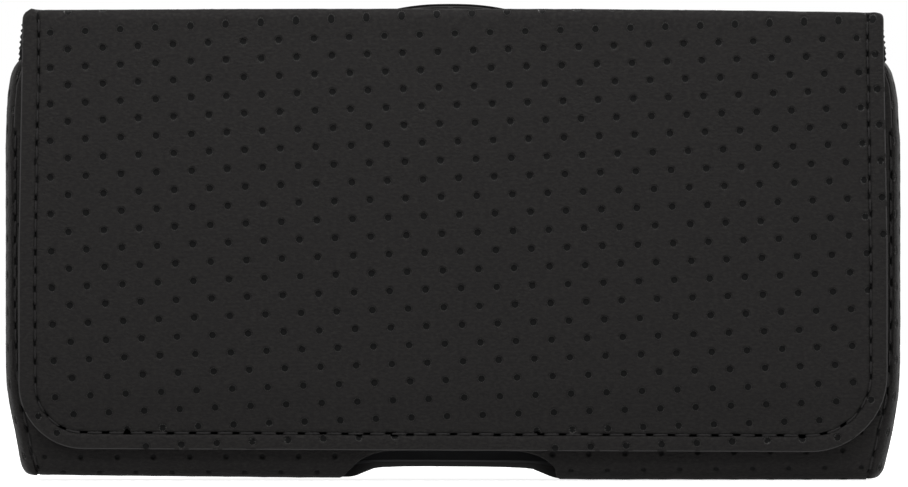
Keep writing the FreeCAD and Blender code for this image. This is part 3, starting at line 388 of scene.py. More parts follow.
def lattice(low, high, start, across, down, turn=ROW_RISE):
    """Staggered dot centres from low to high, with rows that rise to the right by turn degrees."""
    row = np.array([math.cos(math.radians(turn)), math.sin(math.radians(turn))]) * across
    lean = math.radians(COLUMN_LEAN)
    column = np.array([math.sin(lean), -math.cos(lean)]) * down
    reach = int((high - low).max() / min(across, down)) + 30
    steps = np.arange(-reach, reach + 1)
    grid = np.stack(np.meshgrid(steps, steps), -1).reshape(-1, 2).astype(float)
    grid = np.vstack([grid, grid + 0.5])
    points = np.array(start) + grid[:, :1] * row + grid[:, 1:] * column
    return points[(points > low).all(1) & (points < high).all(1)]


STRETCH_START = (1.345, 36.931)
STRETCH_ROW = (79.974, 3.086)
STRETCH_COLUMN = (1.92, -82.404)
STRETCH_X = (-0.289, 0.749, 0.649, -0.494, 0.242, -2.077, 1.515)
STRETCH_S = (-0.15, 0.007, 0.327, 0.346, -0.099, -1.205, 3.639)
STRETCH_CELLS = 12


def stretched_lattice(low, high):
    """The flap's dot centres: a staggered lattice, pulled slightly uneven by the leather's stretch."""
    steps = np.arange(-50, 51) / 2
    i, j = [side.ravel() for side in np.meshgrid(steps, steps)]
    paired = (i * 2 + j * 2) % 2 == 0
    i, j = i[paired], j[paired]
    points = (np.array(STRETCH_START) + np.outer(i, STRETCH_ROW) / STRETCH_CELLS
              + np.outer(j, STRETCH_COLUMN) / STRETCH_CELLS)
    a = np.clip(i, -12.5, 12) / STRETCH_CELLS
    b = np.clip(j, -7, 5.5) / STRETCH_CELLS
    pull = np.stack([a * a, a * b, b * b, a ** 3, a * a * b, a * b * b, b ** 3], 1)
    points += np.stack([pull @ np.array(STRETCH_X), pull @ np.array(STRETCH_S)], 1)
    return points[(points > low).all(1) & (points < high).all(1)]


def nearest(points, centres):
    """Distance from each flat point to the nearest centre."""
    if not len(centres):
        return np.full(len(points), 1e9)
    tree = KDTree(len(centres))
    for index, centre in enumerate(centres):
        tree.insert((centre[0], centre[1], 0), index)
    tree.balance()
    return np.array([tree.find((p[0], p[1], 0))[2] for p in points])


def rings(centres, radii, count):
    """Rings of points round each centre."""
    result = []
    for index, radius in enumerate(radii):
        angles = (np.arange(count) + 0.5 * (index % 2)) * 2 * math.pi / count
        ring = np.stack([np.cos(angles), np.sin(angles)], 1) * radius
        result.append((centres[:, None, :] + ring[None]).reshape(-1, 2))
    return np.vstack(result) if len(centres) else np.zeros((0, 2))


def wrinkle(flat, seed, size, stretch=1.0):
    """Smooth uneven height from -1 to 1, with lumps of the given size in millimetres."""
    return np.array([noise.noise(Vector((p[0] / size / stretch, p[1] / size, seed))) for p in flat])


def triangulate(outlines, extra):
    """Triangles over the outline and inside its holes' outsides. Returns points, triangles and rims."""
    points = np.vstack(list(outlines) + [extra])
    edges = []
    first = 0
    for outline in outlines:
        count = len(outline)
        edges += [(first + k, first + (k + 1) % count) for k in range(count)]
        first += count
    found = delaunay_2d_cdt([Vector(p) for p in points], edges, [], 1, 1e-5)
    flat = np.array([tuple(p) for p in found[0]])
    faces = np.array([tuple(f) for f in found[2] if len(f) == 3])
    middle = flat[faces].mean(1)
    for hole in outlines[1:]:
        faces = faces[~within(middle, hole)]
        middle = flat[faces].mean(1)
    a, b, c = flat[faces[:, 0]], flat[faces[:, 1]], flat[faces[:, 2]]
    turned = (b[:, 0] - a[:, 0]) * (c[:, 1] - a[:, 1]) - (b[:, 1] - a[:, 1]) * (c[:, 0] - a[:, 0]) < 0
    faces[turned] = faces[turned][:, ::-1]
    place_of = {}
    for index, sources in enumerate(found[3]):
        for source in sources:
            place_of[source] = index
    rims = []
    first = 0
    for outline in outlines:
        rims.append([place_of[first + k] for k in range(len(outline))])
        first += len(outline)
    used = np.unique(faces)
    renumber = np.full(len(flat), -1)
    renumber[used] = np.arange(len(used))
    return flat[used], renumber[faces], [[int(renumber[i]) for i in rim] for rim in rims]


def sheet(name, outlines, place, relief, thickness, fill, marks=None, back_fill=None, pits=(), flip=False,
          edge=0.0):
    """A closed sheet with the relief on its outer face, from a flat pattern.

    place(flat, out) gives positions in millimetres; fill and back_fill are flat points inside the
    outline; pits are (centres, floor width, rim width), whose floors get the second material and
    whose rims the fourth. The outer cut edge gets the third, with the given width on the face, and
    the walls of a hole the second.
    """
    extra = fill if marks is None else np.vstack([fill, marks])
    extra = extra[within(extra, outlines[0])]
    gap = distance_to(extra, outlines[0], True)
    extra = extra[gap > 0.05]
    flat, faces, rims = triangulate(outlines, extra)
    front = place(flat, relief(flat))
    behind = fill if back_fill is None else back_fill
    behind = behind[within(behind, outlines[0])]
    behind = behind[distance_to(behind, outlines[0], True) > 0.4]
    flat_back, faces_back, rims_back = triangulate(outlines, behind)
    back = place(flat_back, np.full(len(flat_back), -thickness))
    count = len(front)
    triangles = [tuple(f) for f in faces] + [tuple(int(i) + count for i in f[::-1]) for f in faces_back]
    for number, (rim, rim_back) in enumerate(zip(rims, rims_back)):
        turns = area(outlines[number]) > 0
        if number:
            turns = not turns
        for k in range(len(rim)):
            after = (k + 1) % len(rim)
            quad = (rim[k], rim_back[k] + count, rim_back[after] + count, rim[after])
            triangles.append(quad if turns else quad[::-1])
    if flip:
        triangles = [t[::-1] for t in triangles]
    kinds = np.zeros(len(triangles), int)
    # Dot walls get the lighter rim material, a painted highlight; dot and needle-hole floors the near-black
    # one, a painted shade
    for centres, floor, rim in pits:
        apart = nearest(flat, centres)
        kinds[:len(faces)][(apart < rim / 2 + 0.02)[faces].all(1)] = 3
        kinds[:len(faces)][(apart < floor / 2 + 0.02)[faces].all(1)] = 1
    # The outer edge's rounded strip and walls get the lighter edge paint, a painted highlight line; walls
    # of holes get the near-black floor material
    if edge:
        close = distance_to(flat, outlines[0], True) < edge + 0.02
        kinds[:len(faces)][close[faces].all(1)] = 2
        walls = len(faces) + len(faces_back)
        kinds[walls:walls + len(rims[0])] = 2
        kinds[walls + len(rims[0]):] = 1
    flats = np.vstack([flat, flat_back])
    return add_mesh(name, np.vstack([front, back]), triangles, flats, kinds)


def area(outline):
    x, y = outline[:, 0], outline[:, 1]
    return float((x * np.roll(y, -1) - y * np.roll(x, -1)).sum() / 2)


def add_mesh(name, points, faces, flat=None, kinds=None):
    """A mesh object from millimetres, smooth, with its flat pattern as UVs in metres."""
    mesh = bpy.data.meshes.new(name)
    mesh.from_pydata((points * 0.001).tolist(), [], [tuple(int(i) for i in f) for f in faces])
    mesh.update()
    mesh.polygons.foreach_set("use_smooth", [True] * len(mesh.polygons))
    if flat is not None:
        layer = mesh.uv_layers.new(name="pattern")
        corners = np.empty(len(mesh.loops), np.int32)
        mesh.loops.foreach_get("vertex_index", corners)
        layer.data.foreach_set("uv", (flat[corners] * 0.001).ravel())
    if kinds is not None:
        mesh.polygons.foreach_set("material_index", kinds.astype(np.int32))
    piece = bpy.data.objects.new(name, mesh)
    bpy.context.scene.collection.objects.link(piece)
    return piece


def dress(piece, body, slot, materials, *nodes):
    """Gives a piece its materials, hangs it on the body that carries it or bakes it in place, and hides the
    nodes it stands for.
    """
    for material in materials:
        piece.data.materials.append(material)
    piece.data.set_sharp_from_angle(angle=math.radians(55))
    if body:
        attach(piece, body)
    else:
        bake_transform(piece)
    if nodes:
        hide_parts(*nodes)
    return piece


def stitches(name, seams, place, width, sunk=0.8, proud=-0.22):
    """Stitches along flat lines: each seam is (line, pitch). Every stitch is a twisted two-ply tube
    that rises out of its needle hole, lies on the leather and goes in again."""
    stations, sides = 11, 8
    lobes = 0.14
    twist_per_mm = 2.2
    points, faces, flats = [], [], []
    share = np.linspace(0, 1, stations)
    height = -sunk + (sunk + proud) * (1 - np.abs(2 * share - 1) ** 5) ** 0.6
    for line, pitch in seams:
        run = lengths_along(line)
        count = max(1, round(run[-1] / pitch))
        step = run[-1] / count
        for number in range(count):
            at = (number + 0.17 + share * 0.66) * step
            flat = along_line(line, run, at)
            middle = place(flat, height)
            up = place(flat, height + 1) - middle
            along = np.gradient(middle, axis=0)
            along /= np.linalg.norm(along, axis=1)[:, None]
            side = np.cross(along, up)
            side /= np.linalg.norm(side, axis=1)[:, None]
            over = np.cross(side, along)
            first = len(points) * stations * sides
            angle = np.arange(sides) * 2 * math.pi / sides
            twist = share * step * twist_per_mm
            radius = width / 2 * (1 + lobes * np.cos(2 * (angle[None] - twist[:, None])))
            ring = (middle[:, None] + side[:, None] * (np.cos(angle)[None, :, None] * radius[..., None])
                    + over[:, None] * (np.sin(angle)[None, :, None] * radius[..., None]))
            points.append(ring.reshape(-1, 3))
            flats.append(np.repeat(flat, sides, axis=0))
            for k in range(stations - 1):
                for a in range(sides):
                    b = (a + 1) % sides
                    low = first + k * sides
                    faces.append((low + a, low + b, low + sides + b, low + sides + a))
            faces.append(tuple(first + a for a in reversed(range(sides))))
            faces.append(tuple(first + (stations - 1) * sides + a for a in range(sides)))
    return add_mesh(name, np.vstack(points), faces, np.vstack(flats))


SLOT_REACH = 0.14


def needle_holes(seams, reach=0.0):
    """Flat places of the needle holes of seams given as (line, pitch). With a reach, five places
    along each hole, which the thread has pulled long by that share of a stitch."""
    holes = []
    chance = np.random.default_rng(14)
    for line, pitch in seams:
        run = lengths_along(line)
        count = max(1, round(run[-1] / pitch))
        astray = chance.normal(0, 0.12, (count + 1, 2)) * (reach > 0)
        for shift in np.linspace(-reach, reach, 5) if reach else (0.0,):
            at = np.linspace(0, run[-1], count + 1) + shift * pitch
            holes.append(along_line(line, run, at) + astray)
    return np.vstack(holes)


def seam_relief(flat, lines, slots, depth=0.3, width=0.26):
    """The crease that a seam pulls in, deepest at the needle holes, with puckered leather beside it."""
    gap = np.min([distance_to(flat, line) for line in lines], axis=0)
    hole = nearest(flat, slots)
    beside_seam = gap < 2.2
    pucker = np.zeros(len(flat))
    pucker[beside_seam] = wrinkle(flat[beside_seam], 12.0, 0.7, 1.4)
    return (-depth * np.exp(-(gap / width) ** 2) - 0.4 * depth * np.exp(-(gap / 0.9) ** 2)
            - 0.42 * np.exp(-(hole / 0.3) ** 2) + 0.09 * pucker * np.exp(-(gap / 0.9) ** 2))


def edge_relief(gap, width, depth):
    """Rounds a cut edge over: depth lost at the edge itself, none at width from it."""
    inward = np.clip(1 - gap / width, 0, 1)
    return -depth * (1 - np.sqrt(1 - inward ** 2))


DOT_FLOOR = 0.84
DOT_RINGS = (0.42, DOT_FLOOR, 1.0, 1.15, 1.45)


def pit_relief(distance, width, depth):
    """A pressed dot: flat floor, steep wall and a faint lip."""
    radius = width / 2
    return np.interp(distance / radius, [0, DOT_FLOOR, 1.0, 1.15, 1.4, 1.75],
                     [-depth, -depth * 0.8, -0.05, 0.04, 0.02, 0.0])


def grid(xs, rows, seed):
    """Jittered fill points."""
    points = np.stack(np.meshgrid(xs, rows), -1).reshape(-1, 2)
    shift = np.random.default_rng(seed).uniform(-0.22, 0.22, points.shape)
    shift[:, 1] *= 0.5
    return points + shift


def wrap_rows(low, high, step, fold_step):
    """Rows along the wrap, close together where it is folded."""
    at = wrap_places()
    folds = [(at["front_fold"], at["back"]), (at["foot_back"], at["under"]),
             (at["foot_front"], at["front"])]
    rows = []
    s = low
    while s < high:
        rows.append(s)
        bent = any(a - step < s < b for a, b in folds)
        s += fold_step if bent else step
    return np.array(rows)


# Materials

def add_node(tree, kind, settings=None, links=None):
    """Adds one node, sets its sockets or properties and links its inputs."""
    node = tree.nodes.new(kind)
    for name, value in (settings or {}).items():
        if isinstance(name, int) or name in node.inputs:
            node.inputs[name].default_value = value
        else:
            setattr(node, name, value)
    for name, source in (links or {}).items():
        tree.links.new(source, node.inputs[name])
    return node


def new_material(name, shader):
    """A material with one principled shader, whose given sockets are plain values."""
    material = bpy.data.materials.new(name)
    material.use_nodes = True
    tree = material.node_tree
    tree.nodes.clear()
    surface = add_node(tree, "ShaderNodeBsdfPrincipled", shader)
    output = add_node(tree, "ShaderNodeOutputMaterial")
    tree.links.new(surface.outputs["BSDF"], output.inputs["Surface"])
    return material, tree, surface


def pattern_place(tree, per_metre, uv=True, stretch=(1.0, 1.0, 1.0)):
    """Coordinates in repeats: from the flat pattern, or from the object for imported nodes."""
    source = add_node(tree, "ShaderNodeTexCoord")
    vector = source.outputs["UV" if uv else "Object"]
    scale = tuple(per_metre * part for part in stretch)
    return add_node(tree, "ShaderNodeMapping", {"Scale": scale}, {"Vector": vector}).outputs["Vector"]


def bumped(tree, surface, height, strength, distance):
    """Lets a height socket show as bump on the surface."""
    bump = add_node(tree, "ShaderNodeBump", {"Strength": strength, "Distance": distance},
                    {"Height": height})
    tree.links.new(bump.outputs["Normal"], surface.inputs["Normal"])


def leather_material(name, high, low, grain_mm, roughness, crease):
    """Polyurethane-faced leather, embossed by a grain roller: fine pebbles with short creases across,
    stronger in some patches, which give a broken, satin sheen that is dull in the valleys. Its colour
    is painted lighter on the raised creases and darker between them: a painted highlight on the ridges
    and painted shade in the valleys."""
    material, tree, surface = new_material(name, {"Specular IOR Level": 0.045})
    pebble = add_node(tree, "ShaderNodeTexVoronoi",
                      {"Scale": 1.0, "feature": "SMOOTH_F1", "Smoothness": 0.5},
                      {"Vector": pattern_place(tree, 1000 / grain_mm, stretch=(0.7, 1.0, 1.0))})
    creases = add_node(tree, "ShaderNodeTexNoise", {"Scale": 1.0, "Detail": 3.0, "Roughness": 0.6,
                                                    "Distortion": 0.5},
                       {"Vector": pattern_place(tree, 1000 / 0.42, stretch=(0.5, 1.0, 1.0))})
    patches = add_node(tree, "ShaderNodeTexNoise", {"Scale": 1.0, "Detail": 3.0, "Roughness": 0.55},
                       {"Vector": pattern_place(tree, 1000 / 9)})
    height = add_node(tree, "ShaderNodeMath", {"operation": "MULTIPLY_ADD", 1: crease},
                      {0: creases.outputs["Fac"], 2: pebble.outputs["Distance"]})
    relief = add_node(tree, "ShaderNodeMapRange", {"From Min": 0.38, "From Max": 0.62, "To Min": 0.25,
                                                   "To Max": 0.9},
                      {"Value": patches.outputs["Fac"]})
    bump = add_node(tree, "ShaderNodeBump", {"Distance": 0.00008},
                    {"Height": height.outputs["Value"], "Strength": relief.outputs["Result"]})
    tree.links.new(bump.outputs["Normal"], surface.inputs["Normal"])
    # The colour below follows the creases' height: lighter on the ridges as a painted highlight, darker in
    # the valleys as painted shade
    ridge_highlight = add_node(tree, "ShaderNodeMapRange", {"From Min": 0.42, "From Max": 0.66},
                    {"Value": creases.outputs["Fac"]})
    paint = add_node(tree, "ShaderNodeMix", {"data_type": "RGBA"}, {"Factor": ridge_highlight.outputs["Result"]})
    paint.inputs[6].default_value = low
    paint.inputs[7].default_value = high
    tree.links.new(paint.outputs[2], surface.inputs["Base Color"])
    dull = add_node(tree, "ShaderNodeMapRange",
                    {"From Min": 0.3, "From Max": 0.7, "To Min": roughness + 0.07,
                     "To Max": roughness - 0.07},
                    {"Value": creases.outputs["Fac"]})
    tree.links.new(dull.outputs["Result"], surface.inputs["Roughness"])
    return material


def edge_highlight_material():
    """Acrylic edge paint, rubbed smooth: it closes the cut edge with a faint gloss. Its colour is lighter
    than the leather's, a painted highlight that draws a line along the edge.
    """
    material, tree, surface = new_material("painted_edge", {
        "Base Color": colour("edge_paint_highlight"), "Roughness": 0.6, "Specular IOR Level": 0.1})
    strokes = add_node(tree, "ShaderNodeTexNoise", {"Scale": 1.0, "Detail": 3.0},
                       {"Vector": pattern_place(tree, 1000 / 0.8)})
    bumped(tree, surface, strokes.outputs["Fac"], 0.4, 0.00004)
    return material


def dot_shade_material():
    """The unfinished backing at the bottom of each pressed dot and needle hole, dull and nearly black: the
    near-black is a painted shade for the depth of the hole. It also darkens the walls of cut holes.
    """
    material, tree, surface = new_material("pressed_dot_floor", {
        "Base Color": colour("dot_floor"), "Roughness": 0.78, "Specular IOR Level": 0.12})
    speck = add_node(tree, "ShaderNodeTexNoise", {"Scale": 1.0, "Detail": 2.0},
                     {"Vector": pattern_place(tree, 1000 / 0.35)})
    bumped(tree, surface, speck.outputs["Fac"], 0.5, 0.00004)
    return material


def rim_highlight_material():
    """Leather pressed glossy by the punch round each dot: a thin ring that catches the light, and whose
    lighter colour is a painted highlight.
    """
    material, tree, surface = new_material("pressed_dot_rim", {
        "Base Color": colour("leather_worn"), "Roughness": 0.42, "Specular IOR Level": 0.25})
    speck = add_node(tree, "ShaderNodeTexNoise", {"Scale": 1.0, "Detail": 2.0},
                     {"Vector": pattern_place(tree, 1000 / 0.5)})
    bumped(tree, surface, speck.outputs["Fac"], 0.6, 0.00006)
    return material


def thread_material():
    """Waxed polyester thread, twisted from two plies: as dark as the leather, with a broken shine."""
    material, tree, surface = new_material("waxed_polyester_thread", {
        "Base Color": colour("thread"), "Roughness": 0.7, "Specular IOR Level": 0.12})
    fibre = add_node(tree, "ShaderNodeTexWave", {"Scale": 1.0, "Distortion": 1.5, "Detail": 2.0},
                     {"Vector": pattern_place(tree, 1000 / 0.9, uv=False)})
    bumped(tree, surface, fibre.outputs["Fac"], 0.4, 0.00004)
    return material


def elastic_material():
    """Knitted rubber elastic: matt loops between its ribs, drawn at 0.45 mm, coarse enough to show."""
    material, tree, surface = new_material("knitted_elastic", {
        "Base Color": colour("elastic"), "Roughness": 0.88, "Specular IOR Level": 0.2,
        "Sheen Weight": 0.15, "Sheen Roughness": 0.5})
    place = pattern_place(tree, 1000 / 0.45)
    loops = add_node(tree, "ShaderNodeTexVoronoi", {"Scale": 1.0, "Randomness": 0.25}, {"Vector": place})
    bumped(tree, surface, loops.outputs["Distance"], 0.8, 0.00012)
    return material


def lining_material():
    """Brushed microfibre: short nap, no shine, with the cloudy marks that a hand leaves in it."""
    material, tree, surface = new_material("brushed_microfibre", {
        "Roughness": 0.96, "Specular IOR Level": 0.15, "Sheen Weight": 0.25, "Sheen Roughness": 0.6})
    nap = add_node(tree, "ShaderNodeTexNoise", {"Scale": 1.0, "Detail": 6.0, "Roughness": 0.75},
                   {"Vector": pattern_place(tree, 1000 / 0.5)})
    marks = add_node(tree, "ShaderNodeTexNoise", {"Scale": 1.0, "Detail": 2.0, "Distortion": 1.2},
                     {"Vector": pattern_place(tree, 1000 / 14)})
    paint = add_node(tree, "ShaderNodeMix", {"data_type": "RGBA"}, {"Factor": marks.outputs["Fac"]})
    base = colour("lining")
    paint.inputs[6].default_value = tuple(part * 0.75 for part in base[:3]) + (1.0,)
    paint.inputs[7].default_value = tuple(part * 1.35 for part in base[:3]) + (1.0,)
    tree.links.new(paint.outputs[2], surface.inputs["Base Color"])
    bumped(tree, surface, nap.outputs["Fac"], 0.6, 0.0001)
    return material


def steel_material(name, roughness, brushed):
    """Nickel-plated spring steel, tumbled before plating: fine scuffs that blur its reflections."""
    material, tree, surface = new_material(name, {"Base Color": colour("steel"), "Metallic": 1.0})
    scuffs = add_node(tree, "ShaderNodeTexNoise", {"Scale": 1.0, "Detail": 4.0, "Roughness": 0.6},
                      {"Vector": pattern_place(tree, 1000 / 0.8, uv=False, stretch=brushed)})
    rough = add_node(tree, "ShaderNodeMapRange", {"To Min": roughness - 0.06, "To Max": roughness + 0.1},
                     {"Value": scuffs.outputs["Fac"]})
    tree.links.new(rough.outputs["Result"], surface.inputs["Roughness"])
    bumped(tree, surface, scuffs.outputs["Fac"], 0.25, 0.00002)
    return material


def board_material():
    """Dyed felt board: only its pressed edge shows, a matt dark line between leather and lining."""
    material, tree, surface = new_material("dyed_felt_board", {
        "Base Color": linear("121111") + (1.0,), "Roughness": 0.9, "Specular IOR Level": 0.2})
    felt = add_node(tree, "ShaderNodeTexNoise", {"Scale": 1.0, "Detail": 5.0},
                    {"Vector": pattern_place(tree, 1000 / 0.6, uv=False)})
    bumped(tree, surface, felt.outputs["Fac"], 0.5, 0.0001)
    return material


MATERIALS = {}


def material(name):
    """One of the pouch's materials, made when it is first asked for."""
    makers = {
        "dotted": lambda: leather_material("embossed_leather", colour("leather_worn"), colour("leather"),
                                           0.42, 0.6, 1.2),
        # Smooth leather: the plain leather colour is its painted ridge highlight
        "smooth": lambda: leather_material("smooth_strap_leather", colour("leather"), colour("smooth"),
                                           0.6, 0.46, 0.8),
        "floor": dot_shade_material, "edge": edge_highlight_material, "rim": rim_highlight_material, "thread": thread_material,
        "elastic": elastic_material, "lining": lining_material, "board": board_material,
        "steel": lambda: steel_material("nickel_plated_spring_steel", 0.3, (1.0, 1.0, 0.2)),
        "bright": lambda: steel_material("tumbled_nickel", 0.22, (1.0, 1.0, 1.0)),
    }
    if name not in MATERIALS:
        MATERIALS[name] = makers[name]()
    return MATERIALS[name]


# The wrap: flap and pocket

def foot_edge(x):
    """The flap's lower edge as a flat length: it drops a little towards the right."""
    return -0.02 - 0.0035 * (x + 81)


ROUND_LEFT = 12.2
ROUND_RIGHT = 14.5


def flap_rim(inset, end):
    """The flap's outline, set in from its sides and foot, up to a length on the wrap."""
    side = HALF_FLAP - inset
    round_left = ROUND_LEFT - inset
    round_right = ROUND_RIGHT - inset
    low_left = foot_edge(-side) + inset
    low_right = foot_edge(side) + inset
    lower = open_line([(-side + round_left, low_left), (side - round_right, low_right)], 0.9)
    right = corner((side - round_right, low_right + round_right), round_right, 270, 360, 26)
    left = corner((-side + round_left, low_left + round_left), round_left, 180, 270, 22)
    rows_right = wrap_rows(right[-1][1], end, 0.9, 0.5)[1:]
    rows_left = wrap_rows(left[0][1], end, 0.9, 0.5)[1:]
    side_right = np.stack([panel_half(rows_right) - inset, rows_right], 1)
    side_left = np.stack([-(panel_half(rows_left) - inset), rows_left], 1)
    return lower, np.array(right), side_right, np.array(left), side_left


def closed_flap_rim(inset, end):
    """The same as one closed outline, with a straight cut across the back."""
    lower, right, side_right, left, side_left = flap_rim(inset, end)
    half = float(panel_half(np.array([end]))[0]) - inset
    across = open_line([(half, end), (-half, end)], 0.9)
    return np.vstack([lower[:-1], right[:-1], right[-1:], side_right, across, side_left[::-1], left[:-1]])


def flap_seam():
    """The flap's seam as three lines with their stitch lengths, from top left round to top right."""
    at = wrap_places()
    inset = mm("seam_inset")
    lower, right, side_right, left, side_left = flap_rim(inset, at["top"] - 0.4)
    down = np.vstack([side_left[::-1], left[:10]])
    along = np.vstack([left[9:], lower[1:], right[:16]])
    up = np.vstack([right[15:], side_right])
    return [(down, mm("side_stitch")), (along, mm("foot_stitch")), (up, mm("side_stitch"))]


def wrap_dots(low_s, high_s, keep_from, seams, keep=0.95, flap=False):
    """Dot centres on a stretch of the wrap, clear of its edges and seams."""
    low = np.array([-HALF_FLAP - 2, low_s])
    high = np.array([HALF_FLAP + 2, high_s])
    if flap:
        dots = stretched_lattice(low, high)
    else:
        dots = lattice(low, high, (-76.5, front_length(3.45)), mm("dot_across") * 1.025,
                       mm("dot_down"), 0.8)
    for outline in keep_from:
        dots = dots[distance_to(dots, outline, True) > keep]
    dots = dots[within(dots, keep_from[0])]
    for outline in keep_from[1:]:
        dots = dots[~within(dots, outline)]
    for line, _pitch in seams:
        dots = dots[distance_to(dots, line) > (0.4 if flap else keep)]
    if flap:
        dots = dots[(dots[:, 0] > 3.0 - HALF_FLAP) | (dots[:, 1] < 9.0)]
    return dots


def edge_marks(outline, gaps):
    """Rows of points inside a closed outline, which let its edge be rounded."""
    ring = np.vstack([outline, outline[:1]])
    rows = [beside(ring, gap)[:-1] for gap in gaps]
    return np.vstack(rows)


def seam_marks(seams):
    """Rows of points along seams and rings round their holes, which let the seam's valley show."""
    slots = needle_holes(seams, SLOT_REACH)
    rows = []
    for line, _pitch in seams:
        fine = open_line([tuple(p) for p in line], 0.45)
        rows += [beside(fine, gap) for gap in (-1.5, -0.95, -0.55, -0.26, 0.0, 0.26, 0.55, 0.95, 1.5)]
    rows = np.vstack(rows)
    rows = rows[nearest(rows, slots) > 0.36]
    return np.vstack([rows, slots, rings(slots, [0.24], 8)])


# Width of a needle hole's near-black floor, a painted shade of the hole
HOLE_WIDTH = 0.52
LEATHER_FACES = ("dotted", "floor", "edge", "rim")


def dress_wrap(piece, slot, materials, part, *nodes):
    """The flap's layers are baked in place, on no body; the pocket's stay with the pouch."""
    return dress(piece, None if part == "flap" else "pouch", slot, materials, *nodes)


def build_flap_leather():
    """The flap's crowned, dotted leather from its foot over the hinge, and the thread of its seam."""
    at = wrap_places()
    outline = closed_flap_rim(0.0, at["cut"])
    seams = flap_seam()
    lines = [line for line, _pitch in seams]
    holes = needle_holes(seams, SLOT_REACH)
    dots = wrap_dots(-1, at["cut"] + 2, [outline], seams, 0.55, True)
    width = mm("dot_width")
    roll_from = at["front_fold"] - 24
    fill = grid(np.arange(-80, 80.5, 1.7), wrap_rows(0.8, at["cut"], 1.7, 0.6), 3)
    fill = fill[nearest(fill, dots) > width * 0.85]
    fill = fill[np.min([distance_to(fill, line) for line in lines], axis=0) > 1.9]
    edge = mm("edge_round")
    marks = np.vstack([rings(dots, [width / 2 * r for r in DOT_RINGS], 12), dots, seam_marks(seams),
                       edge_marks(outline, [edge * share for share in (0.3, 0.65, 1.0, 2.2)])])

    def relief(flat):
        gap = distance_to(flat, outline, True)
        gap = np.where(flat[:, 1] > at["cut"] - 2.5, panel_half(flat[:, 1]) - np.abs(flat[:, 0]), gap)
        uneven = 0.07 * wrinkle(flat, 4.0, 9.0, 1.6) + 0.03 * wrinkle(flat, 9.0, 3.2, 1.8)
        side = np.clip(1 - (panel_half(flat[:, 1]) - np.abs(flat[:, 0])) / 2.0, 0, 1)
        roll = -0.4 * side ** 2 * np.clip((flat[:, 1] - roll_from) / 24, 0, 1)
        border = HALF_TOP - 1.7 - np.where(flat[:, 0] < 0, -flat[:, 0], flat[:, 0] - 0.3)
        puff = np.where(flat[:, 0] < 0, 0.3, 0.12) * np.exp(-(border / 0.8) ** 2)
        roll += puff * np.clip((flat[:, 1] - roll_from - 6) / 16, 0, 1)
        return (uneven + roll + edge_relief(gap, edge, edge) + seam_relief(flat, lines, holes)
                + pit_relief(nearest(flat, dots), width, mm("dot_depth")))

    back = grid(np.arange(-78, 79, 5.0), wrap_rows(2, at["cut"], 4.0, 1.2), 5)
    piece = sheet("flap_leather", [outline], on_wrap, relief, mm("leather"), fill, marks, back,
                  [(dots, width * DOT_FLOOR, width), (holes, HOLE_WIDTH, 0)], edge=edge)
    dress_wrap(piece, "perforated_leather", [material(kind) for kind in LEATHER_FACES], "flap",
               "flap_cover")
    thread = stitches("flap_seam", seams, on_wrap, mm("thread"))
    dress(thread, "flap", "thread", [material("thread")], "flap_stitching")


def notch_outline():
    """The push-up notch in the flat pattern: low in the back panel, deeper and wider in the front."""
    at = wrap_places()
    foot = mm("foot_fold")

    def rear(z):
        return at["foot_back"] + foot * math.asin(1 - z / foot)

    front = front_length
    points = [(-18.6, rear(0.1)), (-16.8, rear(0.8)), (-13.9, rear(1.95)), (14.2, rear(1.95)),
              (17.0, rear(0.8)), (19.0, rear(0.1)), (20.6, at["under"] + 1.5),
              (20.6, at["foot_front"] - 1.5), (19.4, front(0.3)), (19.1, front(2.3)),
              (16.8, front(4.1)), (12.7, front(5.45)), (-12.0, front(5.3)), (-14.9, front(4.7)),
              (-17.9, front(3.2)), (-20.4, front(0.5)), (-21.6, at["foot_front"] - 1.5),
              (-21.6, at["under"] + 1.5)]
    for _turn in range(2):
        softer = []
        for index, start in enumerate(points):
            stop = points[(index + 1) % len(points)]
            for share in (0.2, 0.8):
                softer.append((start[0] + (stop[0] - start[0]) * share,
                               start[1] + (stop[1] - start[1]) * share))
        points = softer
    return densify(points, 0.8)


def pocket_rim(inset, start):
    """The pocket's outline from the cut at the back to the mouth."""
    at = wrap_places()
    rows = np.append(wrap_rows(start, at["mouth"] - inset - 1.2, 0.9, 0.5), at["mouth"] - inset - 1.2)
    half = panel_half(rows) - inset
    right = np.stack([half, rows], 1)
    first = open_line([(-half[0], start), (half[0], start)], 0.9)
    mouth = open_line([(half[-1] - 1.0, at["mouth"] - inset), (-half[-1] + 1.0, at["mouth"] - inset)], 0.9)
    left = np.stack([-half, rows], 1)[::-1]
    return np.vstack([first[:-1], right, mouth, left[:-1]])


def side_seams():
    """The pocket's side seams beside the gussets, and the hem below the mouth."""
    at = wrap_places()
    rows = wrap_rows(at["foot_front"] + 3.0, at["front"] + 62.0, 0.9, 0.5)
    half = panel_half(rows) - 0.55
    hem = at["mouth"] - 3.0
    return {"right": [(np.stack([half, rows], 1), 4.1)], "left": [(np.stack([-half, rows], 1), 4.1)],
            "mouth": [(open_line([(-74.5, hem), (74.5, hem)], 0.9), 3.7)]}


